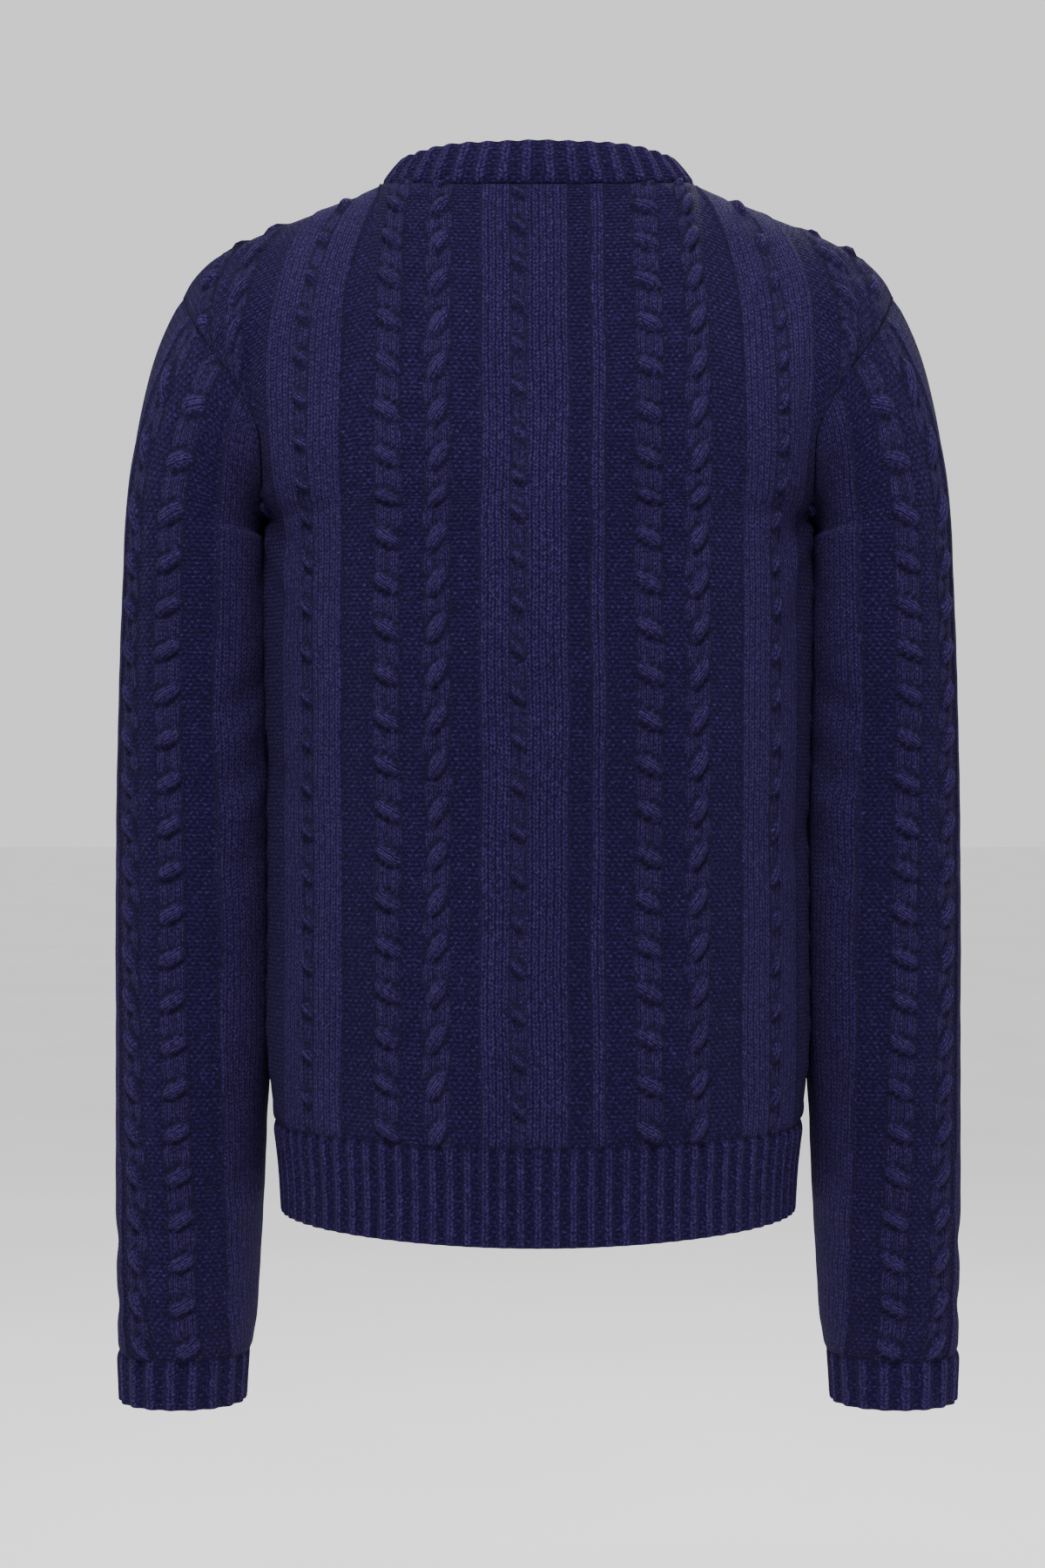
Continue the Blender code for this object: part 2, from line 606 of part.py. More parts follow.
class Armhole:
    """The seam between a sleeve and the back (side 1) and front (side -1) panels."""

    def __init__(self, sleeve, back, front):
        self.sleeve, self.halves = sleeve, {}
        for panel, side in ((back, 1), (front, -1)):
            heights = [v for v in edge_rows(panel) if v >= panel.form.height_at(UNDERARM) - 0.01]
            points, normals = zip(*[panel.place(panel.width(1, v), v) for v in heights])
            run = lengths(np.array(points)[::-1])[::-1]
            places = run / run[0] * sleeve.width(side, sleeve.top)
            outward = [sleeve.place(side * place, sleeve.top)[1] for place in places]
            normals = np.array(normals)
            self.halves[side] = [heights, np.array(points), places, normals + outward, normals]
        for end in (0, -1):
            shared = sum(half[3][end] for half in self.halves.values()) / 2
            for half in self.halves.values():
                half[3][end] = shared

    def direction(self, side, v):
        """The direction both cloths' thickness takes at their seam."""
        heights, _, _, directions, _ = self.halves[side]
        found = np.array([np.interp(v, heights, directions[:, axis]) for axis in range(3)])
        return found / np.linalg.norm(found)

    def ring(self):
        """(place round the sleeve, point, direction) beside each row of the panels' edges."""
        total = self.sleeve.width(1, self.sleeve.top) + self.sleeve.width(-1, self.sleeve.top)
        found = []
        for side, (heights, points, places, _, normals) in self.halves.items():
            half = []
            for v, point, place, normal in zip(heights, points, places, normals):
                seam, near = (self.sleeve.place(side * place, self.sleeve.top - below)[0]
                              for below in (0.0, TOP_JOIN))
                off = (near - seam) / np.linalg.norm(near - seam) + normal
                gap = SEAM_GAP + UNDERARM_GAP * ease((place / places[0] - 0.6) / 0.4)
                half.append((place if side > 0 else total - place,
                             point + off / np.linalg.norm(off) * gap, self.direction(side, v)))
            found += half[::-1] if side > 0 else half[1:-1]
        return found


def neck_direction(point, normal, at_shoulder=False):
    """The direction the neckband's thickness and a panel's share at their seam."""
    found = normal * ((1, 0, 1) if at_shoulder else (1, 1, 1)) + neckband_frame(point)[1]
    return found / np.linalg.norm(found)


def rim_points(sheet, side, place, corner, neck_height, armhole):
    """Gives the inner corner of a panel's edge, so that it meets the next piece's squarely."""
    underarm = sheet.form.height_at(UNDERARM)

    def rim(u, v):
        point, normal = sheet.place(abs(u), v)
        if v >= underarm - 0.1 and abs(u) > sheet.width(1, v) - 1.0:
            direction = armhole.direction(side, v)
        elif abs(u) < corner + 0.1 and v > neck_height(u) - 1.0:
            direction = neck_direction(point, normal, abs(u) > corner - 0.1)
        elif v > sheet.top - 1.0:
            direction = normal * (1, 0, 1)
            direction = direction / np.linalg.norm(direction)
        else:
            return place(u, v, -WALL)
        return place(u, v, 0.0) - direction * (math.copysign(1.0, u), 1, 1) * WALL
    return rim


def panel_wall(place, rim, low_edge, high_edge, low_rows, high_rows, columns, inner_columns, seam, stop):
    """A body panel: ribbing, cables and knit panels outside, plain inside, closed at its edges.

    rim gives the inner corners of the edges. The edges give u at a height, with their rows
    above the ribbing; seam is the top edge between them as (u, v), and stop the height where
    a column ends below it.
    """
    wall = Wall(place)
    rib_rows = [0.0, HEM_RIB / 2, HEM_RIB - RIB_JOIN / 2]
    body_start = HEM_RIB + RIB_JOIN / 2

    def outer_node(u, v):
        return wall.node(u, v, 0.0)

    def inner_node(u, v):
        return wall.add(rim(u, v))

    def edge(across, rows, node):
        return [(v, node(across(v), v)) for v in rib_rows + [body_start] + rows]

    def by_u(across, chain, row):
        return across(chain[row][0]), chain[row][1]

    def lay(found):
        laid = []
        for strand in found:
            high = stop(strand.across(stop(strand.across(high_rows[-1] - TOP_JOIN))))
            laid.append(wall.lay(strand, high_rows, body_start, high))
        return laid

    def ribbing(low_chain, high_chain, shares, laid, extra=0.0):
        """Lengthwise ribs between the edges, joined to the columns above them."""
        ribs = []
        for share, lift in sorted(shares):
            def across(v, share=share):
                return low_edge(v) + share * (high_edge(v) - low_edge(v))
            ribs.append(Laid(Strand(across), [(v, wall.node(across(v), v, lift + extra)) for v in rib_rows]))
        wall.fill_all([low_chain[:3]] + [rib.chain for rib in ribs] + [high_chain[:3]])
        def across_row(row, between):
            return [by_u(low_edge, low_chain, row)] + between + [by_u(high_edge, high_chain, row)]

        wall.fill(across_row(2, [rib.end() for rib in ribs]), across_row(3, [one.start() for one in laid]))
        return across_row(0, [rib.start() for rib in ribs])

    crests, valleys = rib_columns(high_edge(0.0) - low_edge(0.0), HEM_RIB_PITCH)
    hems, seams = [], []
    for found, node, shares, depth in ((columns, outer_node, crests + valleys, 0.0),
                                       (inner_columns, inner_node, valleys, -RIB_VALLEY - WALL)):
        low_chain, high_chain = edge(low_edge, low_rows, node), edge(high_edge, high_rows, node)
        laid = lay(found)
        hems.append((low_chain, high_chain, ribbing(low_chain, high_chain, shares, laid, depth)))
        low_chain, high_chain = low_chain[3:], high_chain[3:]
        wall.fill(low_chain[:-1], laid[0].chain)
        wall.fill_laid(laid)
        wall.fill(laid[-1].chain, high_chain[:-1])
        seam_nodes = [(u, node(u, v - TOP_INSET)) for u, v in seam]
        seams.append([by_u(low_edge, low_chain, -1)] + seam_nodes + [by_u(high_edge, high_chain, -1)])
        wall.fill([by_u(low_edge, low_chain, -2)] + [one.end() for one in laid]
                  + [by_u(high_edge, high_chain, -2)], seams[-1])
    wall.rim(*seams)
    for outer, inner in list(zip(*hems))[:2]:
        wall.rim(outer, inner)
    wall.fill(hems[0][2], hems[1][2])
    return wall


def edge_rows(sheet):
    """Heights of the side edge's rows above the ribbing, up to the shoulder tip."""
    rows = [sheet.form.height_at(level) for level in EDGE_LEVELS]
    return rows[:-1] + [sheet.top - TOP_INSET]


def side_edge(sheet, side):
    """The outer edge: set back from the side seam, whole along the armhole."""
    underarm = sheet.form.height_at(UNDERARM)
    return lambda v: side * (sheet.width(side, v) - (SIDE_INSET if v <= underarm + 0.1 else 0.0))


def back_wall(sheet, neckline, armhole):
    columns = strands(shifted(CENTRE_FIELDS + HALF_FIELDS + mirrored(HALF_FIELDS), PATTERN_SHIFT))
    last = HALF_FIELDS[2][2] + RISE_EDGE
    for side in (1, -1):
        columns += plain([side * place + PATTERN_SHIFT for place in BACK_PLAIN])
        columns += towards_edge(sheet, side, last + side * PATTERN_SHIFT, EDGE_SHARES)
    inner = plain([side * place for side in (1, -1) for place in INNER_BACK] + [0.0], -WALL)
    for side in (1, -1):
        inner += towards_edge(sheet, side, INNER_BACK[-1], (0.5,), -WALL)
    shoulder = shoulder_samples(sheet, neckline.back_corner)
    half_seam = neckline.back_samples() + shoulder
    seam = [(-u, v) for u, v in half_seam[:0:-1]] + half_seam
    rows = edge_rows(sheet)
    rim = rim_points(sheet, 1, sheet.lifted, neckline.back_corner, lambda u: sheet.top, armhole)
    return panel_wall(sheet.lifted, rim, side_edge(sheet, -1), side_edge(sheet, 1), rows, rows,
                      in_order(columns, 300.0), in_order(inner, 300.0), seam,
                      lambda u: sheet.top - TOP_JOIN)


def rise_to_band(distance):
    """How far the upper front has risen, this far from its band, as a share of the step."""
    return ease(1.0 - distance / STEP_REACH)


def front_wall(sheet, neckline, armhole, step):
    """The left front; step raises its edge along the middle onto a band that lies on another."""
    def place(u, v, lift):
        return sheet.lifted(u, v, lift + step * rise_to_band(u - BAND_HALF))

    def stop(u):
        return min(neckline.front_height(u, TOP_JOIN), sheet.top - TOP_JOIN)

    columns = strands(FRONT_FIELDS) + plain(FRONT_PLAIN)
    columns += towards_edge(sheet, 1, HALF_FIELDS[2][2] + RISE_EDGE, EDGE_SHARES)
    inner = plain(INNER_FRONT, -WALL) + towards_edge(sheet, 1, INNER_FRONT[-1], (0.5,), -WALL)
    samples = neckline.front_samples()
    rows = edge_rows(sheet)
    low_top = samples[0][1] - TOP_INSET
    low_rows = [v for v in rows if v < low_top - TOP_JOIN] + [low_top]
    rim = rim_points(sheet, -1, place, neckline.front_corner, neckline.front_height, armhole)
    return panel_wall(place, rim, lambda v: BAND_HALF, side_edge(sheet, 1), low_rows, rows,
                      in_order(columns, 300.0), in_order(inner, 300.0),
                      samples[1:] + shoulder_samples(sheet, neckline.front_corner), stop)


# ---- sleeve --------------------------------------------------------------------------
def sleeve_wall(sheet, armhole):
    """The left sleeve: a tube from the cuff to the armhole seam."""
    wall = Wall(sheet.lifted)
    cap = sheet.form.height_at(SLEEVE_TOP)
    body_start, high = CUFF_RIB + RIB_JOIN / 2, sheet.top - TOP_JOIN
    rows = [sheet.form.height_at(level) for level in SLEEVE_LEVELS] + [cap + rise for rise in CAP_ROWS]

    def round_from_middle(strand, v):
        """Place round the tube, from its outer middle past the back."""
        u = strand.across(v)
        return u if u >= 0 else sheet.width(1, v) + sheet.width(-1, v) + u

    def fading(strand):
        """The smooth knit sinks to the ground level where the sleeve nears the body's side."""
        strand.rows = lambda low, top: [(v, KNIT_RISE if v < cap - 12.0 else 0.0) for v in rows]
        return strand

    columns, inner_columns = [Strand(0.0)], [Strand(0.0, -WALL)]
    for side, shares in ((1, SLEEVE_SHARES), (-1, SLEEVE_SHARES[:-1])):
        columns += strands(SLEEVE_FIELDS if side > 0 else mirrored(SLEEVE_FIELDS))
        columns += plain([side * place for place in SLEEVE_PLAIN + (SLEEVE_KNIT - RISE_EDGE,)])
        columns += plain([side * (SLEEVE_KNIT + RISE_EDGE)], KNIT_RISE)
        columns += [fading(strand) for strand in towards_edge(sheet, side, SLEEVE_KNIT, shares)]
        inner_columns += plain([side * place for place in INNER_SLEEVE], -WALL)
        inner_columns += towards_edge(sheet, side, SLEEVE_KNIT, (0.0,) + shares, -WALL)

    def tube(found):
        laid = [wall.lay(strand, rows, body_start, high) for strand in found]
        laid.sort(key=lambda one: round_from_middle(one.strand, 300.0))
        wall.fill_laid(laid, closed=True)
        return laid

    def around(laid, end, v):
        """The closed chain of the columns' ends."""
        nodes = [(round_from_middle(one.strand, v), one.chain[end][1]) for one in laid]
        return nodes + [(nodes[0][0] + sheet.width(1, v) + sheet.width(-1, v), nodes[0][1])]

    crests, valleys = rib_columns(sheet.width(1, 0.0) + sheet.width(-1, 0.0), CUFF_RIB_PITCH)
    valleys.append((0.0, RIB_VALLEY))
    cuffs, rims = [], []
    for found, shares, depth in ((columns, crests + valleys, 0.0), (inner_columns, valleys, WALL)):
        laid = tube(found)
        ribs = []
        for share, lift in sorted(shares):
            def across(v, share=share):
                back, whole = sheet.width(1, v), sheet.width(1, v) + sheet.width(-1, v)
                return share * whole if share * whole <= back else share * whole - whole
            height = -WALL if depth else lift
            nodes = [(v, wall.node(across(v), v, height)) for v in (0.0, CUFF_RIB - RIB_JOIN / 2)]
            ribs.append(Laid(Strand(across), nodes))
        wall.fill_all([rib.chain for rib in ribs + ribs[:1]])
        wall.fill(around(ribs, -1, CUFF_RIB), around(laid, 0, CUFF_RIB))
        cuffs.append(around(ribs, 0, 0.0))
        rim = [(place, wall.add(point - direction * depth)) for place, point, direction in armhole.ring()]
        rim.append((sheet.width(1, sheet.top) + sheet.width(-1, sheet.top), rim[0][1]))
        wall.fill_near(around(laid, -1, high), rim)
        rims.append(rim)
    wall.fill(*cuffs)
    wall.rim(*rims)
    return wall


# ---- neckband ------------------------------------------------------------------------
def neckband_row(point, height):
    """A point of the neckband above a point of its seam: it leans in and bows a little."""
    rise, facing = neckband_frame(point)
    return point + rise * height + facing * NECKBAND_BOW * math.sin(math.pi * height / NECKBAND_HEIGHT)


def neck_seam(neckline):
    """(point, normal, distance from the front band or None, at the shoulder) from the middle back."""
    found = [(*neckline.back.place(u, v), None, index == BACK_NECK_PARTS)
             for index, (u, v) in enumerate(neckline.back_samples())]
    for index, (u, v) in enumerate(neckline.front_samples()[::-1]):
        found.append((*neckline.front.place(u, v), u - BAND_HALF, index == 0))
    return found


def neckband_sheet(neckline):
    back = [neckline.back.place(u, neckline.back.top)[0] for u in np.linspace(0.0, neckline.back_corner, 48)]
    start = math.asin((BAND_HALF / neckline.front_corner) ** (FRONT_NECK_POWER / 2))
    front = []
    for angle in np.linspace(math.pi / 2, start, 60)[1:]:
        u = neckline.front_corner * math.sin(angle) ** (2 / FRONT_NECK_POWER)
        front.append(neckline.front.place(u, neckline.front_height(u))[0])
    rows = [[neckband_row(point, height) for point in back + front]
            for height in np.linspace(0.0, NECKBAND_HEIGHT, 9)]
    return Sheet(Form(rows, 1))


def neckband_wall(neckline):
    """A ribbed strip round the neck, open at the front where the bands cross it."""
    sheet = neckband_sheet(neckline)
    base = sheet.form.grid[0]
    run = lengths(base)

    def lift_of_step(u, v):
        return BAND_STEP * rise_to_band(sheet.width(u, v) + u) if u < 0 else 0.0

    wall = Wall(lambda u, v, lift: sheet.lifted(u, v, lift + lift_of_step(u, v)))
    seams = ([], [])
    samples = neck_seam(neckline)
    for side, half in ((-1, samples[:0:-1]), (1, samples)):
        for point, normal, distance, at_shoulder in half:
            place = side * run[np.argmin(np.linalg.norm(base - point, axis=1))]
            inward = neck_direction(point, normal, at_shoulder)
            if side < 0 and distance is not None:
                point = point + normal * BAND_STEP * rise_to_band(distance)
            point = point + neckband_frame(point)[0] * TOP_INSET
            for seam, depth in zip(seams, (0.0, NECKBAND_WALL)):
                seam.append((place, wall.add((point - inward * depth) * (side, 1, 1))))

    crests, valleys = rib_columns(2 * sheet.width(1, 0.0), NECK_RIB_PITCH)
    ends = [(0.0, 0.0), (1.0, 0.0)]
    sides = []
    for shares, depth in ((crests + valleys + ends, 0.0), (valleys + ends, NECKBAND_WALL)):
        laid = []
        for share, lift in sorted(shares):
            def across(v, share=share):
                return (2 * share - 1) * sheet.width(1, v)
            height = -depth if depth else lift
            laid.append(Laid(Strand(across), [(v, wall.node(across(v), v, height)) for v in NECKBAND_ROWS]))
        wall.fill_all([one.chain for one in laid])
        seam = seams[1 if depth else 0]
        wall.fill_near([one.start() for one in laid], seam)
        sides.append((laid, seam))
    outer, inner = sides
    top = [(one.end()[0], wall.node(one.strand.across(NECKBAND_HEIGHT), NECKBAND_HEIGHT, -NECKBAND_WALL / 2))
           for one in outer[0]]
    wall.fill([one.end() for one in outer[0]], top)
    wall.fill(top, [one.end() for one in inner[0]])
    wall.rim(*seams)
    for end in (0, -1):
        edges = [[(0.0, seam[end][1])] + laid[end].chain for laid, seam in sides]
        wall.fill(edges[0] + [(NECKBAND_HEIGHT, top[end][1])], edges[1])
    return wall


# ---- bands and buttons ---------------------------------------------------------------
def band_sheet(neckline):
    """The middle of the front, from the hem to the top edge of the neckband."""
    front = neckline.front
    places = np.linspace(0.0, BAND_HALF, 9)
    rows = [[front.place(u, v)[0] for u in places]
            for v in np.linspace(0.0, neckline.front_height(0.0) - 6.0, 60)]
    seam = [front.place(u, neckline.front_height(u))[0] for u in places]
    heights = np.linspace(0.0, NECKBAND_HEIGHT, 7)
    rows += [[neckband_row(point, height) for point in seam] for height in heights]
    return Sheet(Form(rows, -1))


def band_wall(sheet, profile, lift):
    """A strip up the front: profile is its columns from edge to edge."""
    wall = Wall(sheet.lifted)
    seam = sheet.top - NECKBAND_HEIGHT
    rows = list(BAND_ROWS) + [seam, seam + 8.0, seam + 16.0, sheet.top]
    outer = [[(v, wall.node(u, v, lift + rise)) for v in rows] for u, rise in profile]
    inner = [[(v, wall.node(u, v, lift - WALL)) for v in rows] for u in (profile[0][0], 0.0, profile[-1][0])]
    wall.fill_all(outer)
    wall.fill_all(inner)
    wall.fill(outer[0], inner[0])
    wall.fill(outer[-1], inner[-1])
    for end in (0, -1):
        wall.fill([(u, chain[end][1]) for (u, _), chain in zip(profile, outer)],
                  [(u, chain[end][1]) for u, chain in zip((profile[0][0], 0.0, profile[-1][0]), inner)])
    return wall


def circle(radius, sides, middle=(0.0, 0.0)):
    return [(middle[0] + radius * math.cos(turn), middle[1] + radius * math.sin(turn))
            for turn in (2 * math.pi * step / sides for step in range(sides))]


def button_mesh(name):
    """A turned button with a rim and four holes, its back on z = 0."""
    points, faces, loops = [], [], []

    def add_loop(loop, height):
        points.extend((x, y, height) for x, y in loop)
        return list(range(len(points) - len(loop), len(points)))

    def join(low, high):
        for i in range(len(low)):
            k = (i + 1) % len(low)
            faces.append((low[i], low[k], high[k], high[i]))

    loops = [add_loop(circle(radius, BUTTON_SIDES), height) for radius, height in BUTTON_PROFILE]
    for low, high in zip(loops, loops[1:]):
        join(low, high)
    holes = [circle(BUTTON_HOLE_RADIUS, 4, (x * BUTTON_HOLE_SPREAD, y * BUTTON_HOLE_SPREAD))
             for x in (-1, 1) for y in (-1, 1)]
    low, high = BUTTON_PROFILE[0][1], BUTTON_PROFILE[-1][1]
    drilled = [(add_loop(hole, low), add_loop(hole, high)) for hole in holes]
    for low, high in drilled:
        join(low, high)
    for level, rim in ((0, loops[0]), (1, loops[-1])):
        rings = [rim] + [pair[level] for pair in drilled]
        order = [vertex for ring in rings for vertex in ring]
        flat = [[Vector((points[vertex][0], points[vertex][1], 0.0)) for vertex in ring] for ring in rings]
        faces.extend(tuple(order[corner] for corner in triangle) for triangle in tessellate_polygon(flat))
    mesh = bpy.data.meshes.new(name)
    mesh.from_pydata((np.array(points) * MM).tolist(), [], faces)
    return mesh


def add_buttons(sheet):
    """Seven buttons on the middle of the upper band, evenly spaced."""
    for index, v in enumerate(np.linspace(sheet.top - TOP_BUTTON, LOW_BUTTON, BUTTON_COUNT), 1):
        point, normal = sheet.place(0.0, v)
        point = (point + normal * (BAND_STEP + SEAM_GAP)) * MM
        button = finish("button_%d" % index, button_mesh("button_%d" % index), BUTTON_NAVY, 0.35)
        across = Vector((1.0, 0.0, 0.0))
        turn = Matrix((across, Vector(normal).cross(across), Vector(normal))).transposed()
        button.data.transform(Matrix.Translation(Vector(point)) @ turn.to_4x4())


# ---- build ---------------------------------------------------------------------------
def main():
    for old in list(bpy.data.objects):
        bpy.data.objects.remove(old, do_unlink=True)
    back_form = panel_form(1, BACK_MIDDLE, ARMHOLE_BACK)
    front_form = panel_form(-1, FRONT_MIDDLE, ARMHOLE_FRONT)
    back, front = Sheet(back_form), Sheet(front_form)
    neckline = Neckline(back, front)
    sleeve = Sheet(sleeve_form(1, back_form), sleeve_form(-1, front_form))
    armhole = Armhole(sleeve, back, front)
    back_wall(back, neckline, armhole).object("back", NAVY, 0.95)
    front_wall(front, neckline, armhole, 0.0).object("front_left", NAVY, 0.95)
    front_wall(front, neckline, armhole, BAND_STEP).object("front_right", NAVY, 0.95, mirror=True)
    arm = sleeve_wall(sleeve, armhole)
    arm.object("sleeve_left", NAVY, 0.95)
    arm.object("sleeve_right", NAVY, 0.95, mirror=True)
    neckband_wall(neckline).object("neckband", NAVY, 0.95)
    middle = band_sheet(neckline)
    band_wall(middle, UNDER_PROFILE, 0.0).object("button_band", NAVY, 0.95)
    band_wall(middle, UPPER_PROFILE, BAND_STEP).object("buttonhole_band", NAVY, 0.95)
    add_buttons(middle)


main()
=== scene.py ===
"""A women's cable-knit wool cardigan, hollow as if worn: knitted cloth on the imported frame.

Lengths are in millimetres until a mesh is made. The front faces -Y and +X is the wearer's
left. Each cloth piece is a closed shell: a fine outer face that carries the knitting, and
a plain inner face one cloth thickness behind it.
"""

import math

import bpy
import numpy as np
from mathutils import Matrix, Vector
from mathutils.geometry import tessellate_polygon


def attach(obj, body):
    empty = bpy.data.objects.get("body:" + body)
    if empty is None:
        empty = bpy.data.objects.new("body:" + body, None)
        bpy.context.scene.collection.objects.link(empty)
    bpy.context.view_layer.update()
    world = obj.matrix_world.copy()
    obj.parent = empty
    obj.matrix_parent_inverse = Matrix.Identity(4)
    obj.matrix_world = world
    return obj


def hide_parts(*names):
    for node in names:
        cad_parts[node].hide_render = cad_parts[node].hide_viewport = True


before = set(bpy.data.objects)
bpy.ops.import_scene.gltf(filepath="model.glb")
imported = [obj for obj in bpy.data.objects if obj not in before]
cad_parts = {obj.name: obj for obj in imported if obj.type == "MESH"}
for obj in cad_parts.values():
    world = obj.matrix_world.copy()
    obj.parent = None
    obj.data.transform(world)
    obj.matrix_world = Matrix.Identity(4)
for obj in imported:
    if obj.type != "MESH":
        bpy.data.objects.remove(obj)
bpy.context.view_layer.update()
MM = 0.001

# ---- cloth
WALL = 2.4                 # from the purl ground of the outer face to the inner face
NECKBAND_WALL = 2.8
SEAM_GAP = 0.3             # left between two pieces that are sewn together
KNIT_RISE = 0.9            # smooth knit columns stand this far above the purl ground
CROSSING = 23.4            # height from one cable crossing to the next
PATTERN_SHIFT = -2.5       # the back's pattern lies a little towards the wearer's right

# ---- torso
SIDE_POWER = 2.35          # superellipse power of the torso's sections
UNDERARM = -183.0
HEM_RIB = 49.0             # height of the ribbing at the hem
HEM_DIP = 7.0              # the middle of the back hem hangs this much lower
DIP_TOP = 130.0            # height over which that dip fades out
TORSO_SECTIONS = (
    # level, half width, back depth, front depth
    (-555.0, 138.5, 99.0, 103.0),
    (-531.0, 140.0, 97.0, 102.0),
    (-506.0, 143.0, 96.5, 102.5),
    (-460.0, 144.5, 94.0, 101.5),
    (-400.0, 144.0, 92.0, 102.0),
    (-320.0, 144.5, 93.0, 106.0),
    (-250.0, 146.0, 96.0, 112.0),
    (UNDERARM, 147.0, 95.0, 112.0),
)
BACK_MIDDLE = (
    # depth, level: the centre line of the back from the underarm level to the neck seam
    (95.0, UNDERARM), (92.5, -150.0), (88.0, -120.0), (81.5, -88.0), (75.0, -60.0), (62.0, -11.0),
)
FRONT_MIDDLE = (
    # the same for the front, as if it rose to the back's neck seam
    (112.0, UNDERARM), (107.5, -150.0), (99.0, -115.0), (86.0, -80.0), (75.0, -50.0), (58.0, -11.0),
)
NECK_HALF, NECK_LIFT = 85.0, 11.0
NECK_POWER = 2.2
FRONT_NECK_POWER = 1.7
FRONT_NECK_DROP = 69.0     # below the back's neck seam, down the centre front
SHOULDER = (
    # out from the middle, forward, level: the shoulder seam from the neck to the tip
    (85.0, 0.0, 0.0), (96.4, 0.5, -4.8), (127.8, 1.0, -16.6), (158.0, 2.0, -28.5),
    (180.0, 2.5, -40.4), (190.0, 3.0, -51.0), (194.5, 3.0, -59.5),
)
ARMHOLE_BACK = (
    # out from the middle, back, level: from the underarm to the shoulder tip
    (147.0, 0.0, UNDERARM), (147.3, 27.0, -173.0), (146.8, 42.0, -157.0), (148.0, 48.0, -139.0),
    (155.4, 48.0, -121.6), (163.5, 45.0, -107.7), (174.1, 38.0, -94.0), (184.9, 24.0, -78.2),
    (194.5, -3.0, -59.5),
)
ARMHOLE_FRONT = (
    (147.0, 0.0, UNDERARM), (146.6, 25.0, -174.0), (145.4, 40.0, -158.0), (145.6, 47.0, -139.0),
    (150.5, 48.0, -120.0), (159.0, 46.0, -105.0), (171.5, 39.0, -91.0), (184.0, 26.0, -76.0),
    (194.5, 3.0, -59.5),
)
SHOULDER_POWER = 2.4       # how squarely the back turns over the shoulder
EDGE_PULL = 3.5            # how near its edge the armhole shapes the panel

# ---- sleeve
SLEEVE_POWER = 2.15
SLEEVE_TOP = -192.0        # above this level the sleeve turns in towards the armhole
CUFF_RIB = 27.0
SLEEVE_SECTIONS = (
    # level, centre out from the middle, centre forward, half width, half depth
    (-662.0, 194.6, 10.0, 34.0, 33.0),
    (-635.0, 194.2, 10.0, 35.6, 34.5),
    (-622.0, 193.4, 10.0, 37.2, 37.0),
    (-590.0, 192.4, 10.0, 38.6, 39.0),
    (-540.0, 191.2, 10.0, 40.2, 41.0),
    (-460.0, 190.2, 10.0, 41.0, 44.0),
    (-380.0, 190.0, 9.0, 41.0, 46.0),
    (-300.0, 189.2, 8.0, 40.2, 49.0),
    (-240.0, 188.0, 6.0, 38.9, 51.0),
    (SLEEVE_TOP, 187.0, 4.0, 37.6, 52.0),
)
CAP_TURN = (-0.36, 0.0, -0.08)      # how the cap's last stretch leans towards the body
CAP_FULLNESS = 0.92
CAP_SPREAD = 1.2

# ---- neckband
NECKBAND_HEIGHT = 25.0
NECKBAND_LEAN = (
    # angle round the neck, inward share: back, shoulder, front
    (90.0, 0.10), (45.0, 0.34), (0.0, 0.80), (-45.0, 0.62), (-90.0, 0.44),
)
NECKBAND_BOW = 1.6
NECK_CENTRE = (0.0, -8.0)

# ---- ribs
RIB_CREST, RIB_VALLEY = 1.3, -0.5
HEM_RIB_PITCH, CUFF_RIB_PITCH, NECK_RIB_PITCH = 9.0, 11.4, 12.6

# ---- button bands and buttons
BAND_HALF, BAND_RIBS = 15.0, 5
BAND_STEP = WALL + 0.4     # the buttonhole band lies this far out, over the other
STEP_REACH = 32.0          # the buttonhole side rises to its band over this width
BUTTON_COUNT = 7
BUTTON_HOLE_SPREAD = 2.1   # each hole lies this far aside and this far up from the middle
TOP_BUTTON, LOW_BUTTON = 13.0, 22.0      # below the neckband's top edge, above the hem

# ---- where the stitches change
HALF_FIELDS = (
    # kind, from, to, lean: out from the middle of the back, and the same on each front
    ("cable", 47.2, 62.0, -1), ("cable", 73.7, 88.5, 1), ("knit", 107.0, 152.0, 0),
    ("mini", 126.2, 133.8, 1),
)
CENTRE_FIELDS = (
    # the same, across the middle of the back
    ("knit", -32.1, -24.5, 0), ("knit", -13.2, 32.1, 0), ("mini", 8.8, 16.4, 1),
)
FRONT_FIELDS = (("knit", 27.0, 34.6, 0),) + HALF_FIELDS
SLEEVE_FIELDS = (
    # out from the middle of the sleeve, towards the back and towards the front
    ("knit", 19.0, 26.5, 0), ("cable", 30.0, 44.8, -1), ("cable", 56.5, 71.3, 1),
)
SLEEVE_KNIT = 88.0         # from here to the underarm the sleeve is smooth knit
PAIR_PHASE, MINI_PHASE = 6.0, -5.0   # level of a crossing, and of a small one, above the rib

# ---- how finely the forms and the cloth are divided
SAMPLES = 361              # points along each row of a form while it is worked out
FORM_ROWS = 44             # rows of the torso below the underarm, and of the sleeve below its cap
EDGE = (0.0, 0.1, 0.35, 0.7, 1.15)       # rows that round a free edge
BODY_EVEN, BODY_SHARES = 156.0, 24       # columns are evenly spaced to here, then share what is left
SLEEVE_STEP, SLEEVE_SHARES = 1.5, 26
SPARE_COLUMN = 70          # the sleeve's columns are thinned from here, to a multiple of four
HOLD = 424.0               # the rows are level up to here

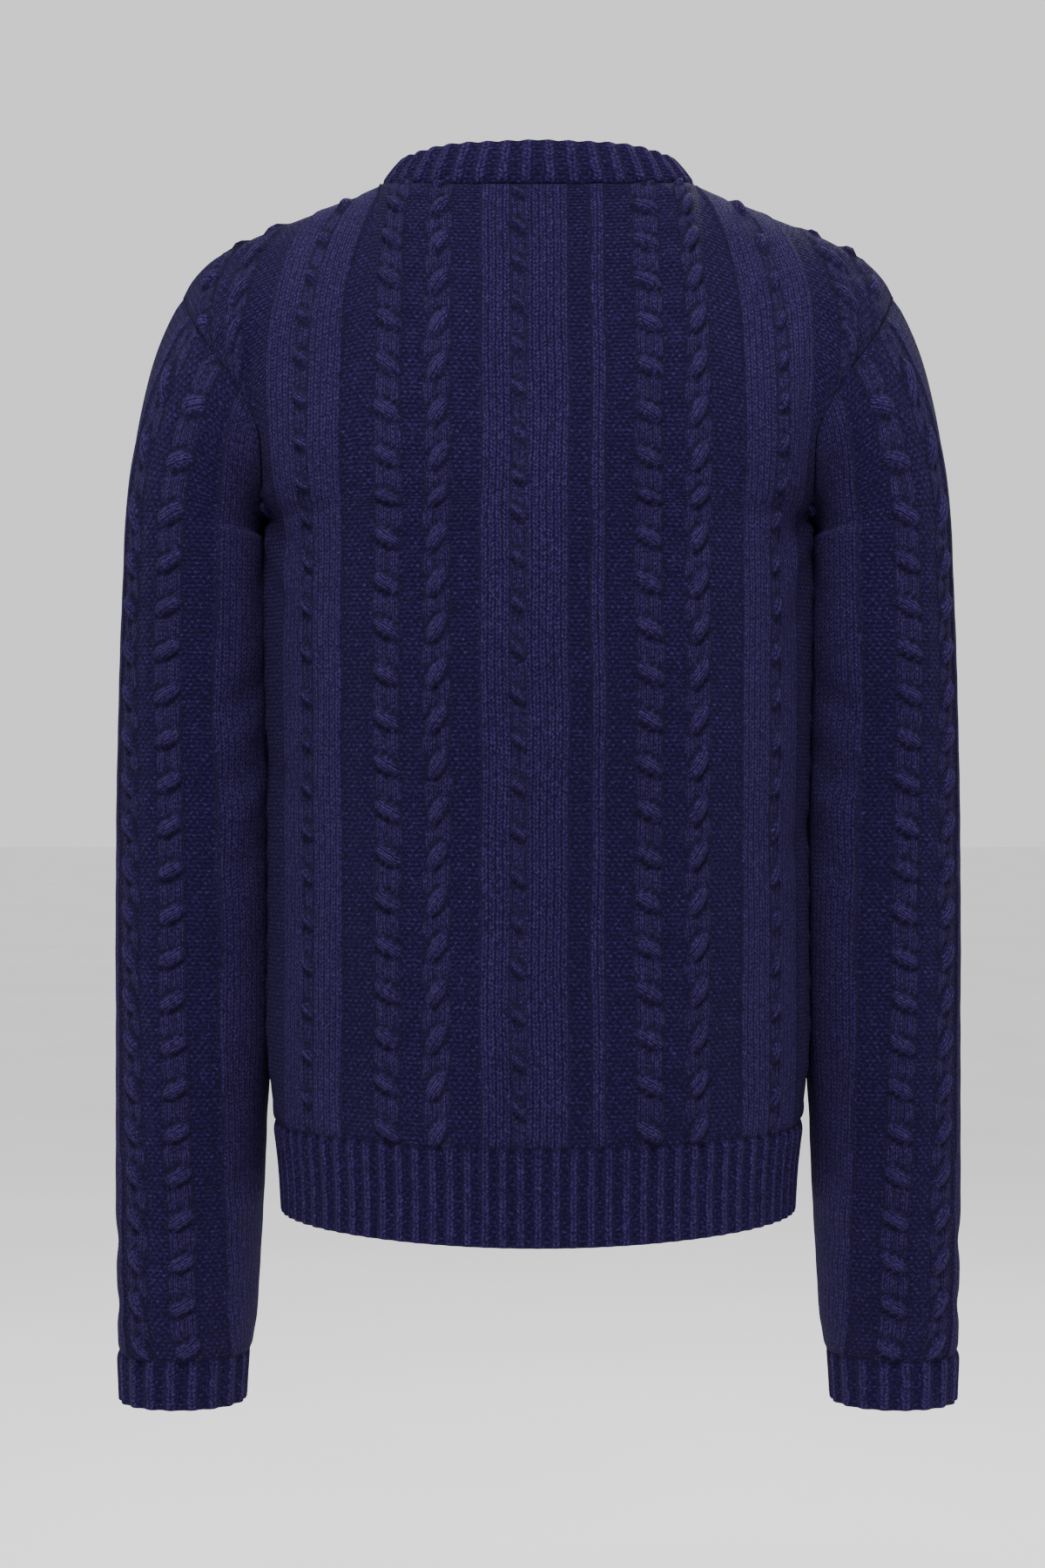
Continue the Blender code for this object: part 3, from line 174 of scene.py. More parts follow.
# ---- how pieces meet
SIDE_FULLNESS = 2.8        # the body's side and the sleeve swell towards each other below the arm
PLAIN_SIDE = 158.0         # outside this the body is plain below the underarm
SEAM_LAP = 1.4             # a piece's edge runs this far under the one that it is sewn to
NECK_DIP = 0.24            # the neckband is drawn this much lower beside the shoulder seams
# how far below the ribbing's top the fabric begins, over what height it takes over, and how
# tall the line is where it is drawn in
HEM_JOIN, CUFF_JOIN = (1.2, 2.8, 2.6), (1.0, 2.6, 2.4)


# ---- curves
def cubic(t, low, high, leave, arrive):
    """Between two ends, with the slopes that it leaves one and arrives at the other by."""
    return (low * (2 * t ** 3 - 3 * t ** 2 + 1) + high * (3 * t ** 2 - 2 * t ** 3)
            + leave * (t ** 3 - 2 * t ** 2 + t) + arrive * (t ** 3 - t ** 2))


def unit(vectors):
    return vectors / np.linalg.norm(vectors, axis=-1, keepdims=True)


def smooth(position, knots, values):
    """Cubic curve through rows of values at rising knots."""
    knots, values = np.asarray(knots, float), np.asarray(values, float)
    position = np.clip(np.asarray(position, float), knots[0], knots[-1])
    slopes = np.gradient(values, knots, axis=0)
    cell = np.clip(np.searchsorted(knots, position, side="right") - 1, 0, len(knots) - 2)
    span = knots[cell + 1] - knots[cell]
    share = (position - knots[cell]) / span
    if values.ndim > 1:
        span, share = np.expand_dims(span, -1), np.expand_dims(share, -1)
    return cubic(share, values[cell], values[cell + 1], slopes[cell] * span, slopes[cell + 1] * span)


def ease(value):
    value = np.clip(value, 0.0, 1.0)
    return value * value * (3.0 - 2.0 * value)


def lengths(points):
    """Running length along a polyline."""
    steps = np.linalg.norm(np.diff(points, axis=0), axis=1)
    return np.concatenate(([0.0], np.cumsum(steps)))


def evenly(points, count):
    """The same line with evenly spaced points."""
    run = lengths(points)
    wanted = np.linspace(0.0, run[-1], count)
    return np.stack([np.interp(wanted, run, points[:, axis]) for axis in range(3)], axis=1)


def through(table, count=81):
    """A smooth line through the rows of a table, evenly spaced."""
    points = np.asarray(table, float)
    return evenly(smooth(np.linspace(0.0, lengths(points)[-1], 4 * count), lengths(points), points), count)


def superellipse(half_x, half_y, power, start, end, count=181):
    """An arc from angle start to end, in degrees; 0 lies along x and 90 along y."""
    angle = np.radians(np.linspace(start, end, count))
    cos, sin = np.cos(angle), np.sin(angle)
    return np.stack([half_x * np.sign(cos) * np.abs(cos) ** (2 / power),
                     half_y * np.sign(sin) * np.abs(sin) ** (2 / power)], axis=1)


# ---- smooth forms
class Form:
    """A smooth sheet: u runs out along its rows, v runs up from row to row."""

    COLUMNS = 193

    def __init__(self, rows, side, flat_axis=0, steady=0):
        """side turns the normals outward; the first column runs square to flat_axis.

        Over the last few columns (steady) rows and columns run nearly the same way at an
        armhole, so they keep the normal of the column before them.
        """
        self.grid = np.array([evenly(np.asarray(row), self.COLUMNS) for row in rows])
        self.widths = np.array([lengths(row)[-1] for row in self.grid])
        gaps = np.linalg.norm(np.diff(self.grid, axis=0), axis=2).mean(axis=1)
        self.heights = np.concatenate(([0.0], np.cumsum(gaps)))
        across = np.gradient(self.grid, axis=1)
        across[:, 0, [axis for axis in range(3) if axis != flat_axis]] = 0.0
        self.normals = unit(np.cross(np.gradient(self.grid, axis=0), across) * side)
        if steady:
            self.normals[:, -steady:] = self.normals[:, -steady - 1:-steady]
        self.top = float(self.heights[-1])

    def width(self, v):
        return float(np.interp(v, self.heights, self.widths))

    def height_at(self, level):
        """Height of the row whose outer end lies at a level."""
        return float(np.interp(level, self.grid[:, -1, 2], self.heights))

    def sample(self, u, v):
        """The points at (u, v) and the outward directions there, for whole arrays."""
        u, v = np.broadcast_arrays(np.asarray(u, float), np.asarray(v, float))
        row = np.interp(v, self.heights, np.arange(len(self.heights)))
        column = np.clip(u / np.interp(v, self.heights, self.widths), 0.0, 1.0) * (self.COLUMNS - 1)
        low_row = np.minimum(row.astype(int), len(self.heights) - 2)
        low_column = np.minimum(column.astype(int), self.COLUMNS - 2)
        up, out = (row - low_row)[..., None], (column - low_column)[..., None]
        found = []
        for grid in (self.grid, self.normals):
            lower = grid[low_row, low_column] * (1 - out) + grid[low_row, low_column + 1] * out
            upper = grid[low_row + 1, low_column] * (1 - out) + grid[low_row + 1, low_column + 1] * out
            found.append(lower * (1 - up) + upper * up)
        return found[0], unit(found[1])


class Pair:
    """A sleeve's two halves: the back's form and the front's."""

    def __init__(self, form, other):
        self.form, self.other, self.top = form, other, form.top


def neck_curve(depth):
    """Half of the neck seam, from its middle to the shoulder."""
    plan = superellipse(NECK_HALF, depth, NECK_POWER, 90.0, 0.0)
    level = -NECK_LIFT * (np.abs(plan[:, 1]) / depth) ** 1.5
    return np.column_stack((plan, level))


def torso_rows(side):
    """Rows of half the back (side 1) or the front (side -1), from the hem to the underarm."""
    table = np.asarray(TORSO_SECTIONS)
    depths = table[:, 2 if side > 0 else 3]
    rows = []
    for level in np.linspace(table[0, 0], UNDERARM, FORM_ROWS):
        plan = superellipse(smooth(level, table[:, 0], table[:, 1]), smooth(level, table[:, 0], depths),
                            SIDE_POWER, 90.0, 0.0)
        row = evenly(np.column_stack((plan, np.full(len(plan), level))), SAMPLES)
        if side > 0:
            fade = ease(1.0 - (level - table[0, 0]) / DIP_TOP)
            row[:, 2] -= HEM_DIP * fade * (1.0 - ease(np.linspace(0.0, 1.0, SAMPLES)))
        rows.append(row)
    return rows


def panel_form(side, middle, armhole):
    """Half of the back or the front, hem to shoulder seam; the front as if it had no neck."""
    rows = torso_rows(side)
    bottom = rows.pop()
    shoulder = through(SHOULDER) * (1.0, -side, 1.0)
    top = evenly(np.vstack((neck_curve(middle[-1][0]), shoulder[1:])), SAMPLES)
    middle_line = np.array([(0.0, depth, level) for depth, level in middle])
    edge = through(armhole, SAMPLES)
    hold = (np.linspace(0.0, 1.0, SAMPLES) ** EDGE_PULL)[:, None]
    for turn in np.linspace(0.0, 1.0, 30) ** 1.25:
        angle = turn * math.pi / 2
        climb = math.sin(angle) ** (2 / SHOULDER_POWER)
        level = UNDERARM + climb * (middle_line[-1, 2] - UNDERARM)
        middle_now = smooth(level, middle_line[:, 2], middle_line)
        edge_level = UNDERARM + climb * (edge[-1, 2] - UNDERARM)
        edge_now = np.array([np.interp(edge_level, edge[:, 2], edge[:, axis]) for axis in range(3)])
        rise = np.array(((edge_now[0] - edge[0, 0]) / (edge[-1, 0] - edge[0, 0]),
                         1.0 - math.cos(angle) ** (2 / SHOULDER_POWER), climb))
        blend = bottom * (1 - rise) + top * rise
        middle_off = middle_now - (bottom[0] * (1 - rise) + top[0] * rise)
        edge_off = edge_now - (bottom[-1] * (1 - rise) + top[-1] * rise)
        rows.append(blend + middle_off * (1 - hold) + edge_off * hold)
    return Form([row * (1.0, side, 1.0) for row in rows], side, steady=6)


def sleeve_form(side, panel):
    """The back (side 1) or front (side -1) half of the left sleeve, cuff to armhole."""
    table = np.asarray(SLEEVE_SECTIONS)
    rows = []
    for level in np.linspace(table[0, 0], SLEEVE_TOP, FORM_ROWS):
        out, forward, half_width, half_depth = smooth(level, table[:, 0], table[:, 1:])
        plan = superellipse(half_width, half_depth, SLEEVE_POWER, 0.0, 180.0) * (1.0, side) + (out, -forward)
        rows.append(evenly(np.column_stack((plan, np.full(len(plan), level))), SAMPLES))
    start = rows[-1]
    share = np.linspace(0.0, 1.0, SAMPLES)
    levels = np.linspace(panel.grid[-1, -1, 2], UNDERARM, 4 * SAMPLES)
    heights = [panel.height_at(level) for level in levels]
    seam = evenly(panel.sample(np.array([panel.width(v) for v in heights]), np.array(heights))[0], SAMPLES)
    run = share ** CAP_SPREAD * (SAMPLES - 1)
    end = np.stack([np.interp(run, np.arange(SAMPLES), seam[:, axis]) for axis in range(3)], axis=1)
    reach = np.linalg.norm(end - start, axis=1, keepdims=True)
    leave = unit(start - rows[-2]) * reach * CAP_FULLNESS
    arrive = unit((end - start) / reach + CAP_TURN) * reach * CAP_FULLNESS
    rows += [cubic(t, start, end, leave, arrive) for t in np.linspace(0.0, 1.0, 17)[1:]]
    return Form(rows, -side, flat_axis=1)


def neckband_frame(point):
    """The ways the neckband rises and faces at a point of its seam, by its place round the neck."""
    out, forward = point[0] - NECK_CENTRE[0], point[1] - NECK_CENTRE[1]
    turn, share = np.array(NECKBAND_LEAN)[::-1].T
    share = float(smooth(math.degrees(math.atan2(forward, abs(out))), turn, share))
    away = np.array([out * ease((abs(out) - BAND_HALF) / 30.0), forward, 0.0])
    away = away / np.linalg.norm(away)
    upright = np.array([0.0, 0.0, 1.0])
    steep = math.sqrt(1.0 - share * share)
    return upright * steep - away * share, away * steep + upright * share


class Neckline:
    """The neck seam on the back and on the front, in each panel's own (u, v)."""

    def __init__(self, back, front):
        self.back, self.front = back, front
        self.back_corner = lengths(neck_curve(BACK_MIDDLE[-1][0]))[-1]
        self.front_corner = lengths(neck_curve(FRONT_MIDDLE[-1][0]))[-1]
        lowest = np.interp(-NECK_LIFT - FRONT_NECK_DROP, front.grid[:, 0, 2], front.heights)
        self.drop = front.top - float(lowest)

    def top_of(self, u):
        """Height of the front's upper edge: its neck seam, then the shoulder seam."""
        share = np.clip(1.0 - (np.abs(u) / self.front_corner) ** FRONT_NECK_POWER, 0.0, 1.0)
        return self.front.top - self.drop * share ** (1 / FRONT_NECK_POWER)


def neckband_row(point, height):
    """A point of the neckband above a point of its seam: it leans in and bows a little."""
    rise, facing = neckband_frame(point)
    return point + rise * height + facing * NECKBAND_BOW * math.sin(math.pi * height / NECKBAND_HEIGHT)


def neckband_sheet(neckline):
    back = neckline.back.sample(np.linspace(0.0, neckline.back_corner, 64), neckline.back.top)[0]
    start = math.asin((BAND_HALF / neckline.front_corner) ** (FRONT_NECK_POWER / 2))
    angle = np.linspace(math.pi / 2, start, 80)[1:]
    u = neckline.front_corner * np.sin(angle) ** (2 / FRONT_NECK_POWER)
    front = neckline.front.sample(u, neckline.top_of(u))[0]
    rows = [[neckband_row(point, height) for point in np.vstack((back, front))]
            for height in np.linspace(0.0, NECKBAND_HEIGHT, 9)]
    return Form(rows, 1)


def band_form(neckline):
    """The middle of the front, from the hem to the top edge of the neckband."""
    front = neckline.front
    places = np.linspace(0.0, BAND_HALF, 9)
    rows = [front.sample(places, v)[0]
            for v in np.linspace(0.0, float(neckline.top_of(0.0)) - 6.0, 60)]
    seam = front.sample(places, neckline.top_of(places))[0]
    rows += [[neckband_row(point, height) for point in seam]
             for height in np.linspace(0.0, NECKBAND_HEIGHT, 7)]
    return Form(rows, -1)


# ---- the knitting
WALE, COURSE = 3.75, 2.36            # one stitch: its width and its height
STRAND_WALE = 2.7                    # a stitch inside a cable is drawn narrower
BODY_START, SLEEVE_START = HEM_RIB + 1.5, CUFF_RIB + 1.5
# half the length and breadth of a cable's lobe as shares of the cable's width, its lean, the
# height of the strands between lobes and of the lobe
BIG_LOBE = (0.58, 0.30, 0.76, 1.05, 4.2)
SMALL_LOBE = (0.84, 0.40, 0.95, 0.3, 3.7)
OUTER_FIELDS = (
    # the body's last cables, which the armhole and the side seam cut
    ("cable", 169.0, 183.8, -1), ("cable", 195.5, 210.3, 1),
)
BACK_FOLDS = (
    # from u, v to u, v, half width, height: soft troughs (below 0) and ridges of the cloth
    (158.0, 500.0, 161.0, 405.0, 9.0, -3.0), (172.0, 470.0, 170.0, 395.0, 8.0, 1.6),
    (-160.0, 505.0, -158.0, 400.0, 9.0, -3.2), (-173.0, 466.0, -169.0, 398.0, 8.0, 1.5),
    (186.0, 392.0, 128.0, 352.0, 10.0, -2.2), (188.0, 372.0, 140.0, 322.0, 9.0, -1.7),
    (-187.0, 396.0, -134.0, 349.0, 10.0, -2.4), (-188.0, 366.0, -146.0, 311.0, 9.0, -1.5),
    (187.0, 250.0, 150.0, 236.0, 11.0, -1.5), (-188.0, 214.0, -149.0, 196.0, 12.0, -1.6),
    (98.0, 62.0, 96.0, 130.0, 13.0, -1.2), (-99.0, 60.0, -104.0, 142.0, 14.0, -1.3),
    (20.0, 60.0, 24.0, 118.0, 15.0, -0.9), (-61.0, 66.0, -66.0, 103.0, 12.0, 1.0),
)
FRONT_FOLDS = (
    (186.0, 390.0, 126.0, 360.0, 11.0, -2.6), (188.0, 369.0, 132.0, 318.0, 10.0, -2.0),
    (157.0, 500.0, 160.0, 412.0, 9.0, -2.6), (171.0, 462.0, 169.0, 400.0, 8.0, 1.4),
    (184.0, 240.0, 146.0, 222.0, 12.0, -1.6), (98.0, 60.0, 92.0, 138.0, 14.0, -1.4),
    (48.0, 62.0, 55.0, 121.0, 12.0, 1.0), (60.0, 400.0, 92.0, 330.0, 18.0, -1.4),
)
SLEEVE_FOLDS = (
    # the same on the sleeve: u runs from its outer middle towards the back and the front
    (120.0, 392.0, 78.0, 372.0, 10.0, -2.6), (118.0, 356.0, 74.0, 330.0, 11.0, -2.2),
    (118.0, 334.0, 92.0, 318.0, 8.0, 1.8), (114.0, 300.0, 76.0, 284.0, 9.0, -1.6),
    (-122.0, 398.0, -74.0, 380.0, 11.0, -2.8), (-118.0, 362.0, -70.0, 338.0, 11.0, -2.4),
    (-116.0, 300.0, -76.0, 280.0, 10.0, -2.0), (-112.0, 250.0, -84.0, 238.0, 9.0, -1.4),
    (108.0, 128.0, 66.0, 112.0, 8.0, -1.9), (106.0, 96.0, 60.0, 84.0, 7.0, -1.7),
    (105.0, 66.0, 70.0, 58.0, 7.0, -1.5), (20.0, 92.0, -18.0, 86.0, 8.0, -1.3),
    (26.0, 60.0, -12.0, 52.0, 7.0, -1.4), (-104.0, 110.0, -58.0, 94.0, 8.0, -1.9),
    (-103.0, 74.0, -62.0, 62.0, 7.0, -1.6), (84.0, 210.0, 104.0, 168.0, 9.0, -1.4),
    (150.0, 500.0, 120.0, 440.0, 10.0, -2.0), (-150.0, 505.0, -118.0, 446.0, 10.0, -2.2),
)


def sag(u, v, folds):
    """How far the cloth stands out of its form along soft creases."""
    total = np.zeros(np.broadcast(u, v).shape)
    for u0, v0, u1, v1, half, height in folds:
        run = np.array((u1 - u0, v1 - v0))
        size = np.hypot(*run)
        along = ((u - u0) * run[0] + (v - v0) * run[1]) / size ** 2
        off = ((v - v0) * run[0] - (u - u0) * run[1]) / size
        bend = 0.07 * size * np.sin(np.pi * np.clip(along, 0.0, 1.0))
        past = np.clip(along - 1.0, 0.0, None) + np.clip(-along, 0.0, None)
        reach = np.exp(-past ** 2 * (size / half) ** 2)
        taper = 0.55 + 0.45 * np.sin(np.pi * np.clip(along, 0.0, 1.0))
        total = total + height * taper * reach * np.exp(-((off - bend) / half) ** 2)
    return total


def cord_pair(x, v, phase, lean, width, lobe_shape):
    """A cable of two strands: (lift, stitch across).

    At every CROSSING one strand passes over the other as a leaning lobe; between two
    crossings both run straight up and lie lower.
    """
    long, short, steep, low, crest = lobe_shape
    long, short = long * width, short * width
    reach, radius = 0.235 * width, 0.26 * width
    t = (v - phase + CROSSING / 2) % CROSSING - CROSSING / 2
    cos, sin = lean * math.cos(steep), math.sin(steep)
    along, off = x * cos + t * sin, -x * sin + t * cos
    off = off + 0.9 * np.sin(along / long * 1.4) * short * 0.35
    away = np.hypot(along / long, off / short)
    lobe = crest * np.clip(1.0 - away ** 2, 0.0, 1.0) ** 0.6
    moat = -0.7 * np.exp(-((away - 1.15) / 0.25) ** 2)
    near = np.exp(-(t / (0.42 * width)) ** 2)
    swing = reach * np.tanh(t / (0.2 * width)) * lean
    strand = np.minimum(np.abs(x - swing), np.abs(x + swing))
    side = np.where(np.abs(x - swing) < np.abs(x + swing), x - swing, x + swing)
    straight = low * (1.0 - 0.45 * near) * np.sqrt(np.clip(1.0 - (strand / radius) ** 2, 0.0, 1.0))
    lift = np.maximum(lobe, straight + moat * (away > 0.95))
    return lift, np.where(lobe >= straight, off, side) / STRAND_WALE + 0.5


def knitting(u, v, fields, start):
    """Height of the fabric over its purl ground, its stitch coordinates and how knit it is."""
    drift = 0.35 * np.sin(v / 31.0 + u / 57.0) + 0.25 * np.sin(v / 13.7 + u / 23.0 + 1.3)
    x = u + drift
    lift, knit = np.zeros_like(x), np.zeros_like(x)
    across, inside = x / WALE, np.zeros_like(x)
    for kind, first, last, lean in fields:
        if kind == "knit":
            share = ease((x - first + 0.9) / 1.8) * ease((last + 0.9 - x) / 1.8)
            lift, knit = np.maximum(lift, KNIT_RISE * share), np.maximum(knit, share)
            across = np.where(share > 0.5, (x - first) / WALE, across)
            roll = np.exp(-((x - first - 1.9) / 1.7) ** 2) + np.exp(-((last - 1.9 - x) / 1.7) ** 2)
            lift = lift + 0.32 * roll * share
    for kind, first, last, lean in fields:
        if kind == "knit":
            continue
        small = kind == "mini"
        middle, width = (first + last) / 2, last - first
        phase = start + (MINI_PHASE if small else PAIR_PHASE)
        pair, stitch = cord_pair(x - middle, v, phase, lean, width, SMALL_LOBE if small else BIG_LOBE)
        near = ease((width / 2 + 1.0 - np.abs(x - middle)) / 1.6)
        base = lift * (1.0 - near * (0.75 if small else 0.0))
        lift = np.where(near > 0.0, base + near * pair, lift)
        held = (near > 0.35) & (pair > 0.12)
        across, inside = np.where(held, stitch, across), np.where(held, 1.0, inside)
        knit = np.where(held, 1.0, knit)
    # between the two cables of each pair the fabric is drawn in, so it puckers a little
    for (kind, first, last, _), (other, start_two, _, _) in zip(fields, fields[1:]):
        if kind == other == "cable" and 0.0 < start_two - last < 16.0:
            middle = (last + start_two) / 2
            lift = lift + 1.1 * np.exp(-((x - middle) / 5.0) ** 2) \
                * (0.5 + 0.5 * np.cos(2 * np.pi * (v - start - PAIR_PHASE - CROSSING / 2) / CROSSING))
    uneven = 0.13 * np.sin(u / 5.3 + v / 11.0) * np.sin(v / 6.1 - u / 17.0 + 0.7)
    return lift + uneven, across, knit, inside


def ribbing(share, count):
    """One-by-one rib: lift, stitch across and how knit, where share runs from edge to edge."""
    turn = share * count
    wave = 0.5 - 0.5 * np.cos(2 * np.pi * turn)
    lift = RIB_VALLEY - 0.15 + (RIB_CREST + 0.15 - RIB_VALLEY) * wave ** 0.8
    return lift, 2.0 * turn - 0.5, ease((wave - 0.25) / 0.3)


def rounded(distance, thickness):
    """How far a face turns in towards the middle of the cloth at its free edge."""
    half = thickness * 0.46
    near = np.clip(1.0 - distance / half, 0.0, 1.0)
    return half * (1.0 - np.sqrt(np.clip(1.0 - near ** 2, 0.0, 1.0)))


def rows_up(*spans):
    """Heights from span to span, each (from, to, step); a free edge gets close rows."""
    found = []
    for low, high, step in spans:
        found.append(np.linspace(low, high, max(2, round((high - low) / step) + 1))[:-1])
    return np.append(np.concatenate(found), spans[-1][1])


def rib_rows(rib, step, top):
    """Rows of a piece with ribbing at its free edge, close together where the fabric changes."""
    spans = rows_up((1.8, rib - 2.0, step), (rib - 2.0, rib + 3.0, 0.8), (rib + 3.0, top, 1.9))
    return np.unique(np.concatenate((EDGE, spans)))


def over_rib(v, height, join, fabric, rib):
    """The fabric above and the ribbing below: lift, stitch across, knit and in a cable."""
    (lift, across, knit, inside), (rib_lift, rib_across, rib_knit) = fabric, rib
    below, spread, line = join
    body = ease((v - height + below) / spread)
    draw = -0.9 * np.exp(-((v - height) / line) ** 2)
    return (rib_lift * (1.0 - body) + lift * body + draw, np.where(body > 0.5, across, rib_across),
            rib_knit * (1.0 - body) + knit * body, inside * (body > 0.5))


# ---- shells
def make_mesh(name, points, faces, uv=None, stitch=None):
    mesh = bpy.data.meshes.new(name)
    mesh.from_pydata((np.asarray(points) * MM).tolist(), [], faces)
    mesh.polygons.foreach_set("use_smooth", np.ones(len(mesh.polygons), bool))
    if uv is not None:
        corner = np.zeros(len(mesh.loops), int)
        mesh.loops.foreach_get("vertex_index", corner)
        mesh.uv_layers.new(name="stitches").data.foreach_set("uv", np.asarray(uv, float)[corner].ravel())
        layer = mesh.attributes.new("stitch", "FLOAT_COLOR", "POINT")
        layer.data.foreach_set("color", np.asarray(stitch, float).ravel())
    mesh.update()
    return mesh


def shell(name, points, normals, outer_lift, inner_lift, uv, stitch, closed=False, mirror=False, step=5):
    """A closed shell on a grid: all of it outside, every few rows and columns of it inside."""
    rows, columns = points.shape[:2]
    outer = points + normals * outer_lift[..., None]
    pick_row = list(range(0, rows - 1, step)) + [rows - 1]
    pick_column = list(range(0, columns if closed else columns - 1, step)) + ([] if closed else [columns - 1])
    grid = np.ix_(pick_row, pick_column)
    inner = (points + normals * inner_lift[..., None])[grid]
    high, wide = len(pick_row), len(pick_column)
    base = rows * columns

    r, c = np.meshgrid(np.arange(rows - 1), np.arange(columns if closed else columns - 1), indexing="ij")
    near, far = r * columns + c, r * columns + (c + 1) % columns
    faces = np.stack((near, far, far + columns, near + columns), axis=-1).reshape(-1, 4).tolist()
    r, c = np.meshgrid(np.arange(high - 1), np.arange(wide if closed else wide - 1), indexing="ij")
    near, far = base + r * wide + c, base + r * wide + (c + 1) % wide
    faces += np.stack((near, near + wide, far + wide, far), axis=-1).reshape(-1, 4).tolist()

    def between(first, last):
        return list(range(first, last + 1))

    spans = list(zip(range(wide), pick_column, pick_column[1:] + ([columns] if closed else [])))
    for index, low, top in spans:
        one, two = base + index, base + (index + 1) % wide
        edge = [place % columns for place in between(low, top)]
        faces.append(edge[::-1] + [one, two])
        lift = (rows - 1) * columns
        one, two = one + (high - 1) * wide, two + (high - 1) * wide
        faces.append([lift + place for place in edge] + [two, one])
    if not closed:
        for index, low, top in zip(range(high), pick_row, pick_row[1:]):
            one, two = base + index * wide, base + (index + 1) * wide
            edge = [place * columns for place in between(low, top)]
            faces.append(edge + [two, one])
            faces.append([place + columns - 1 for place in edge][::-1] + [one + wide - 1, two + wide - 1])

    middle, aside = rows // 2, columns // 3
    along = outer[middle, aside + 1] - outer[middle, aside]
    up = outer[middle + 1, aside] - outer[middle, aside]
    inward = np.dot(np.cross(along, up), normals[middle, aside]) < 0
    if inward != mirror:
        faces = [face[::-1] for face in faces]
    everything = np.vstack((outer.reshape(-1, 3), inner.reshape(-1, 3)))
    everything = everything * ((-1, 1, 1) if mirror else (1, 1, 1))
    uvs = np.vstack((uv.reshape(-1, 2), uv[grid].reshape(-1, 2)))
    # the inner face reads as purl, out of any cable and at the lowest depth, so the material gives it the
    # full painted shade
    inside = stitch[grid].copy()
    inside[..., :3] = 0.0
    stitches = np.vstack((stitch.reshape(-1, 4), inside.reshape(-1, 4)))
    return make_mesh(name, everything, faces, uvs, stitches)


def stitch_and_shade_depth(knit, inside, lift):
    """What the material reads at each point: knit or purl, in a cable, and how deep it lies, which the
    material turns into painted shade where it is low.
    """
    return np.stack((knit, inside, np.clip(0.5 + lift / 7.0, 0.0, 1.0), np.ones_like(knit)), axis=-1)


def cloth_grid(points, normals, v, lift, base, turn, wall, across, knit, inside):
    """What shell() takes: the outer face carries the lift, the inner face lies a wall behind."""
    uv = np.stack((across, v / COURSE), axis=-1)
    return points, normals, lift + base - turn, base - wall + turn, uv, stitch_and_shade_depth(knit, inside, lift)


def linked(name, data):
    thing = bpy.data.objects.new(name, data)
    bpy.context.scene.collection.objects.link(thing)
    return thing


def add_piece(name, mesh, material, slot, *nodes):
    piece = linked(name, mesh)
    mesh.materials.append(material)
    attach(piece, "root")
    if nodes:
        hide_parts(*nodes)
    return piece


def place_cloth(name, mesh, node, material):
    add_piece(name, mesh, material, "knit", node)


# ---- panels
def panel_columns(first, fixed, step, count):
    """(place, share): fixed places from the first one, then shares of what is left to the edge."""
    places = [(place, 0.0) for place in np.linspace(first, fixed, round((fixed - first) / step) + 1)]
    return places + [(fixed, share) for share in np.linspace(0.0, 1.0, count + 1)[1:]]


def panel_grid(form, columns, rows, top_of):
    """u and v of every grid point; each column's last rows are drawn in to end at its top."""
    fixed, share = np.array(columns).T
    u = np.tile(fixed, (len(rows), 1))
    v = np.tile(rows[:, None], (1, len(columns)))
    for _ in range(3):
        width = np.interp(v, form.heights, form.widths)
        u = np.where(share > 0.0, fixed + share * (width - fixed), fixed)
        top = top_of(u)
        v = np.where(rows[:, None] > HOLD, HOLD + (rows[:, None] - HOLD) * (top - HOLD) / (form.top - HOLD),
                     rows[:, None])
    return u, v


def panel(form, mirror_both, folds, fields, first, top_of, band_step=0.0, shift=0.0, fine=1.35):
    """Grid of a body panel: points, normals, lifts and stitches."""
    columns = panel_columns(first, BODY_EVEN, fine, BODY_SHARES)
    u, v = panel_grid(form, columns, rib_rows(HEM_RIB, 2.2, form.top), top_of)
    points, normals = form.sample(u, v)
    if mirror_both:
        u = np.hstack((-u[:, :0:-1], u))
        v = np.hstack((v[:, :0:-1], v))
        points = np.hstack((points[:, :0:-1] * (-1, 1, 1), points))
        normals = np.hstack((normals[:, :0:-1] * (-1, 1, 1), normals))
    width = np.interp(v, form.heights, form.widths)
    lift, across, knit, inside = knitting(u - shift, v, fields, BODY_START)
    under = (np.abs(u) > PLAIN_SIDE) * ease((form.height_at(UNDERARM) + 18.0 - v) / 40.0)
    lift, knit, inside = lift * (1.0 - 0.8 * under), knit * (1.0 - under), inside * (under < 0.5)
    across = np.where(under > 0.5, u / WALE, across)
    low = -width if mirror_both else np.full_like(width, BAND_HALF)
    share = (u - low) / (width - low)
    span = form.widths[0] * 2 if mirror_both else form.widths[0] - BAND_HALF
    rib = ribbing(share, round(span / HEM_RIB_PITCH))
    lift, across, knit, inside = over_rib(v, HEM_RIB, HEM_JOIN, (lift, across, knit, inside), rib)
    side = width - np.abs(u)
    seam = np.minimum(np.where(v > form.height_at(UNDERARM), side, side * 2.2), np.abs(top_of(np.abs(u)) - v))
    settle = ease(seam / 5.0)
    lift = lift * settle - 0.5 * np.exp(-(seam / 2.2) ** 2)
    fold = sag(u, v, folds) * ease(seam / 14.0) * ease((v - 8.0) / 26.0)
    fold = fold + SIDE_FULLNESS * ease((np.abs(u) - 152.0) / 24.0) * ease((v - 50.0) / 50.0) \
        * ease((form.height_at(UNDERARM) + 1.0 - v) / 6.0)
    fold = fold + band_step * ease(1.0 - (u - BAND_HALF) / STEP_REACH)
    return cloth_grid(points, normals, v, lift, fold, rounded(v, WALL), WALL, across, knit, inside)


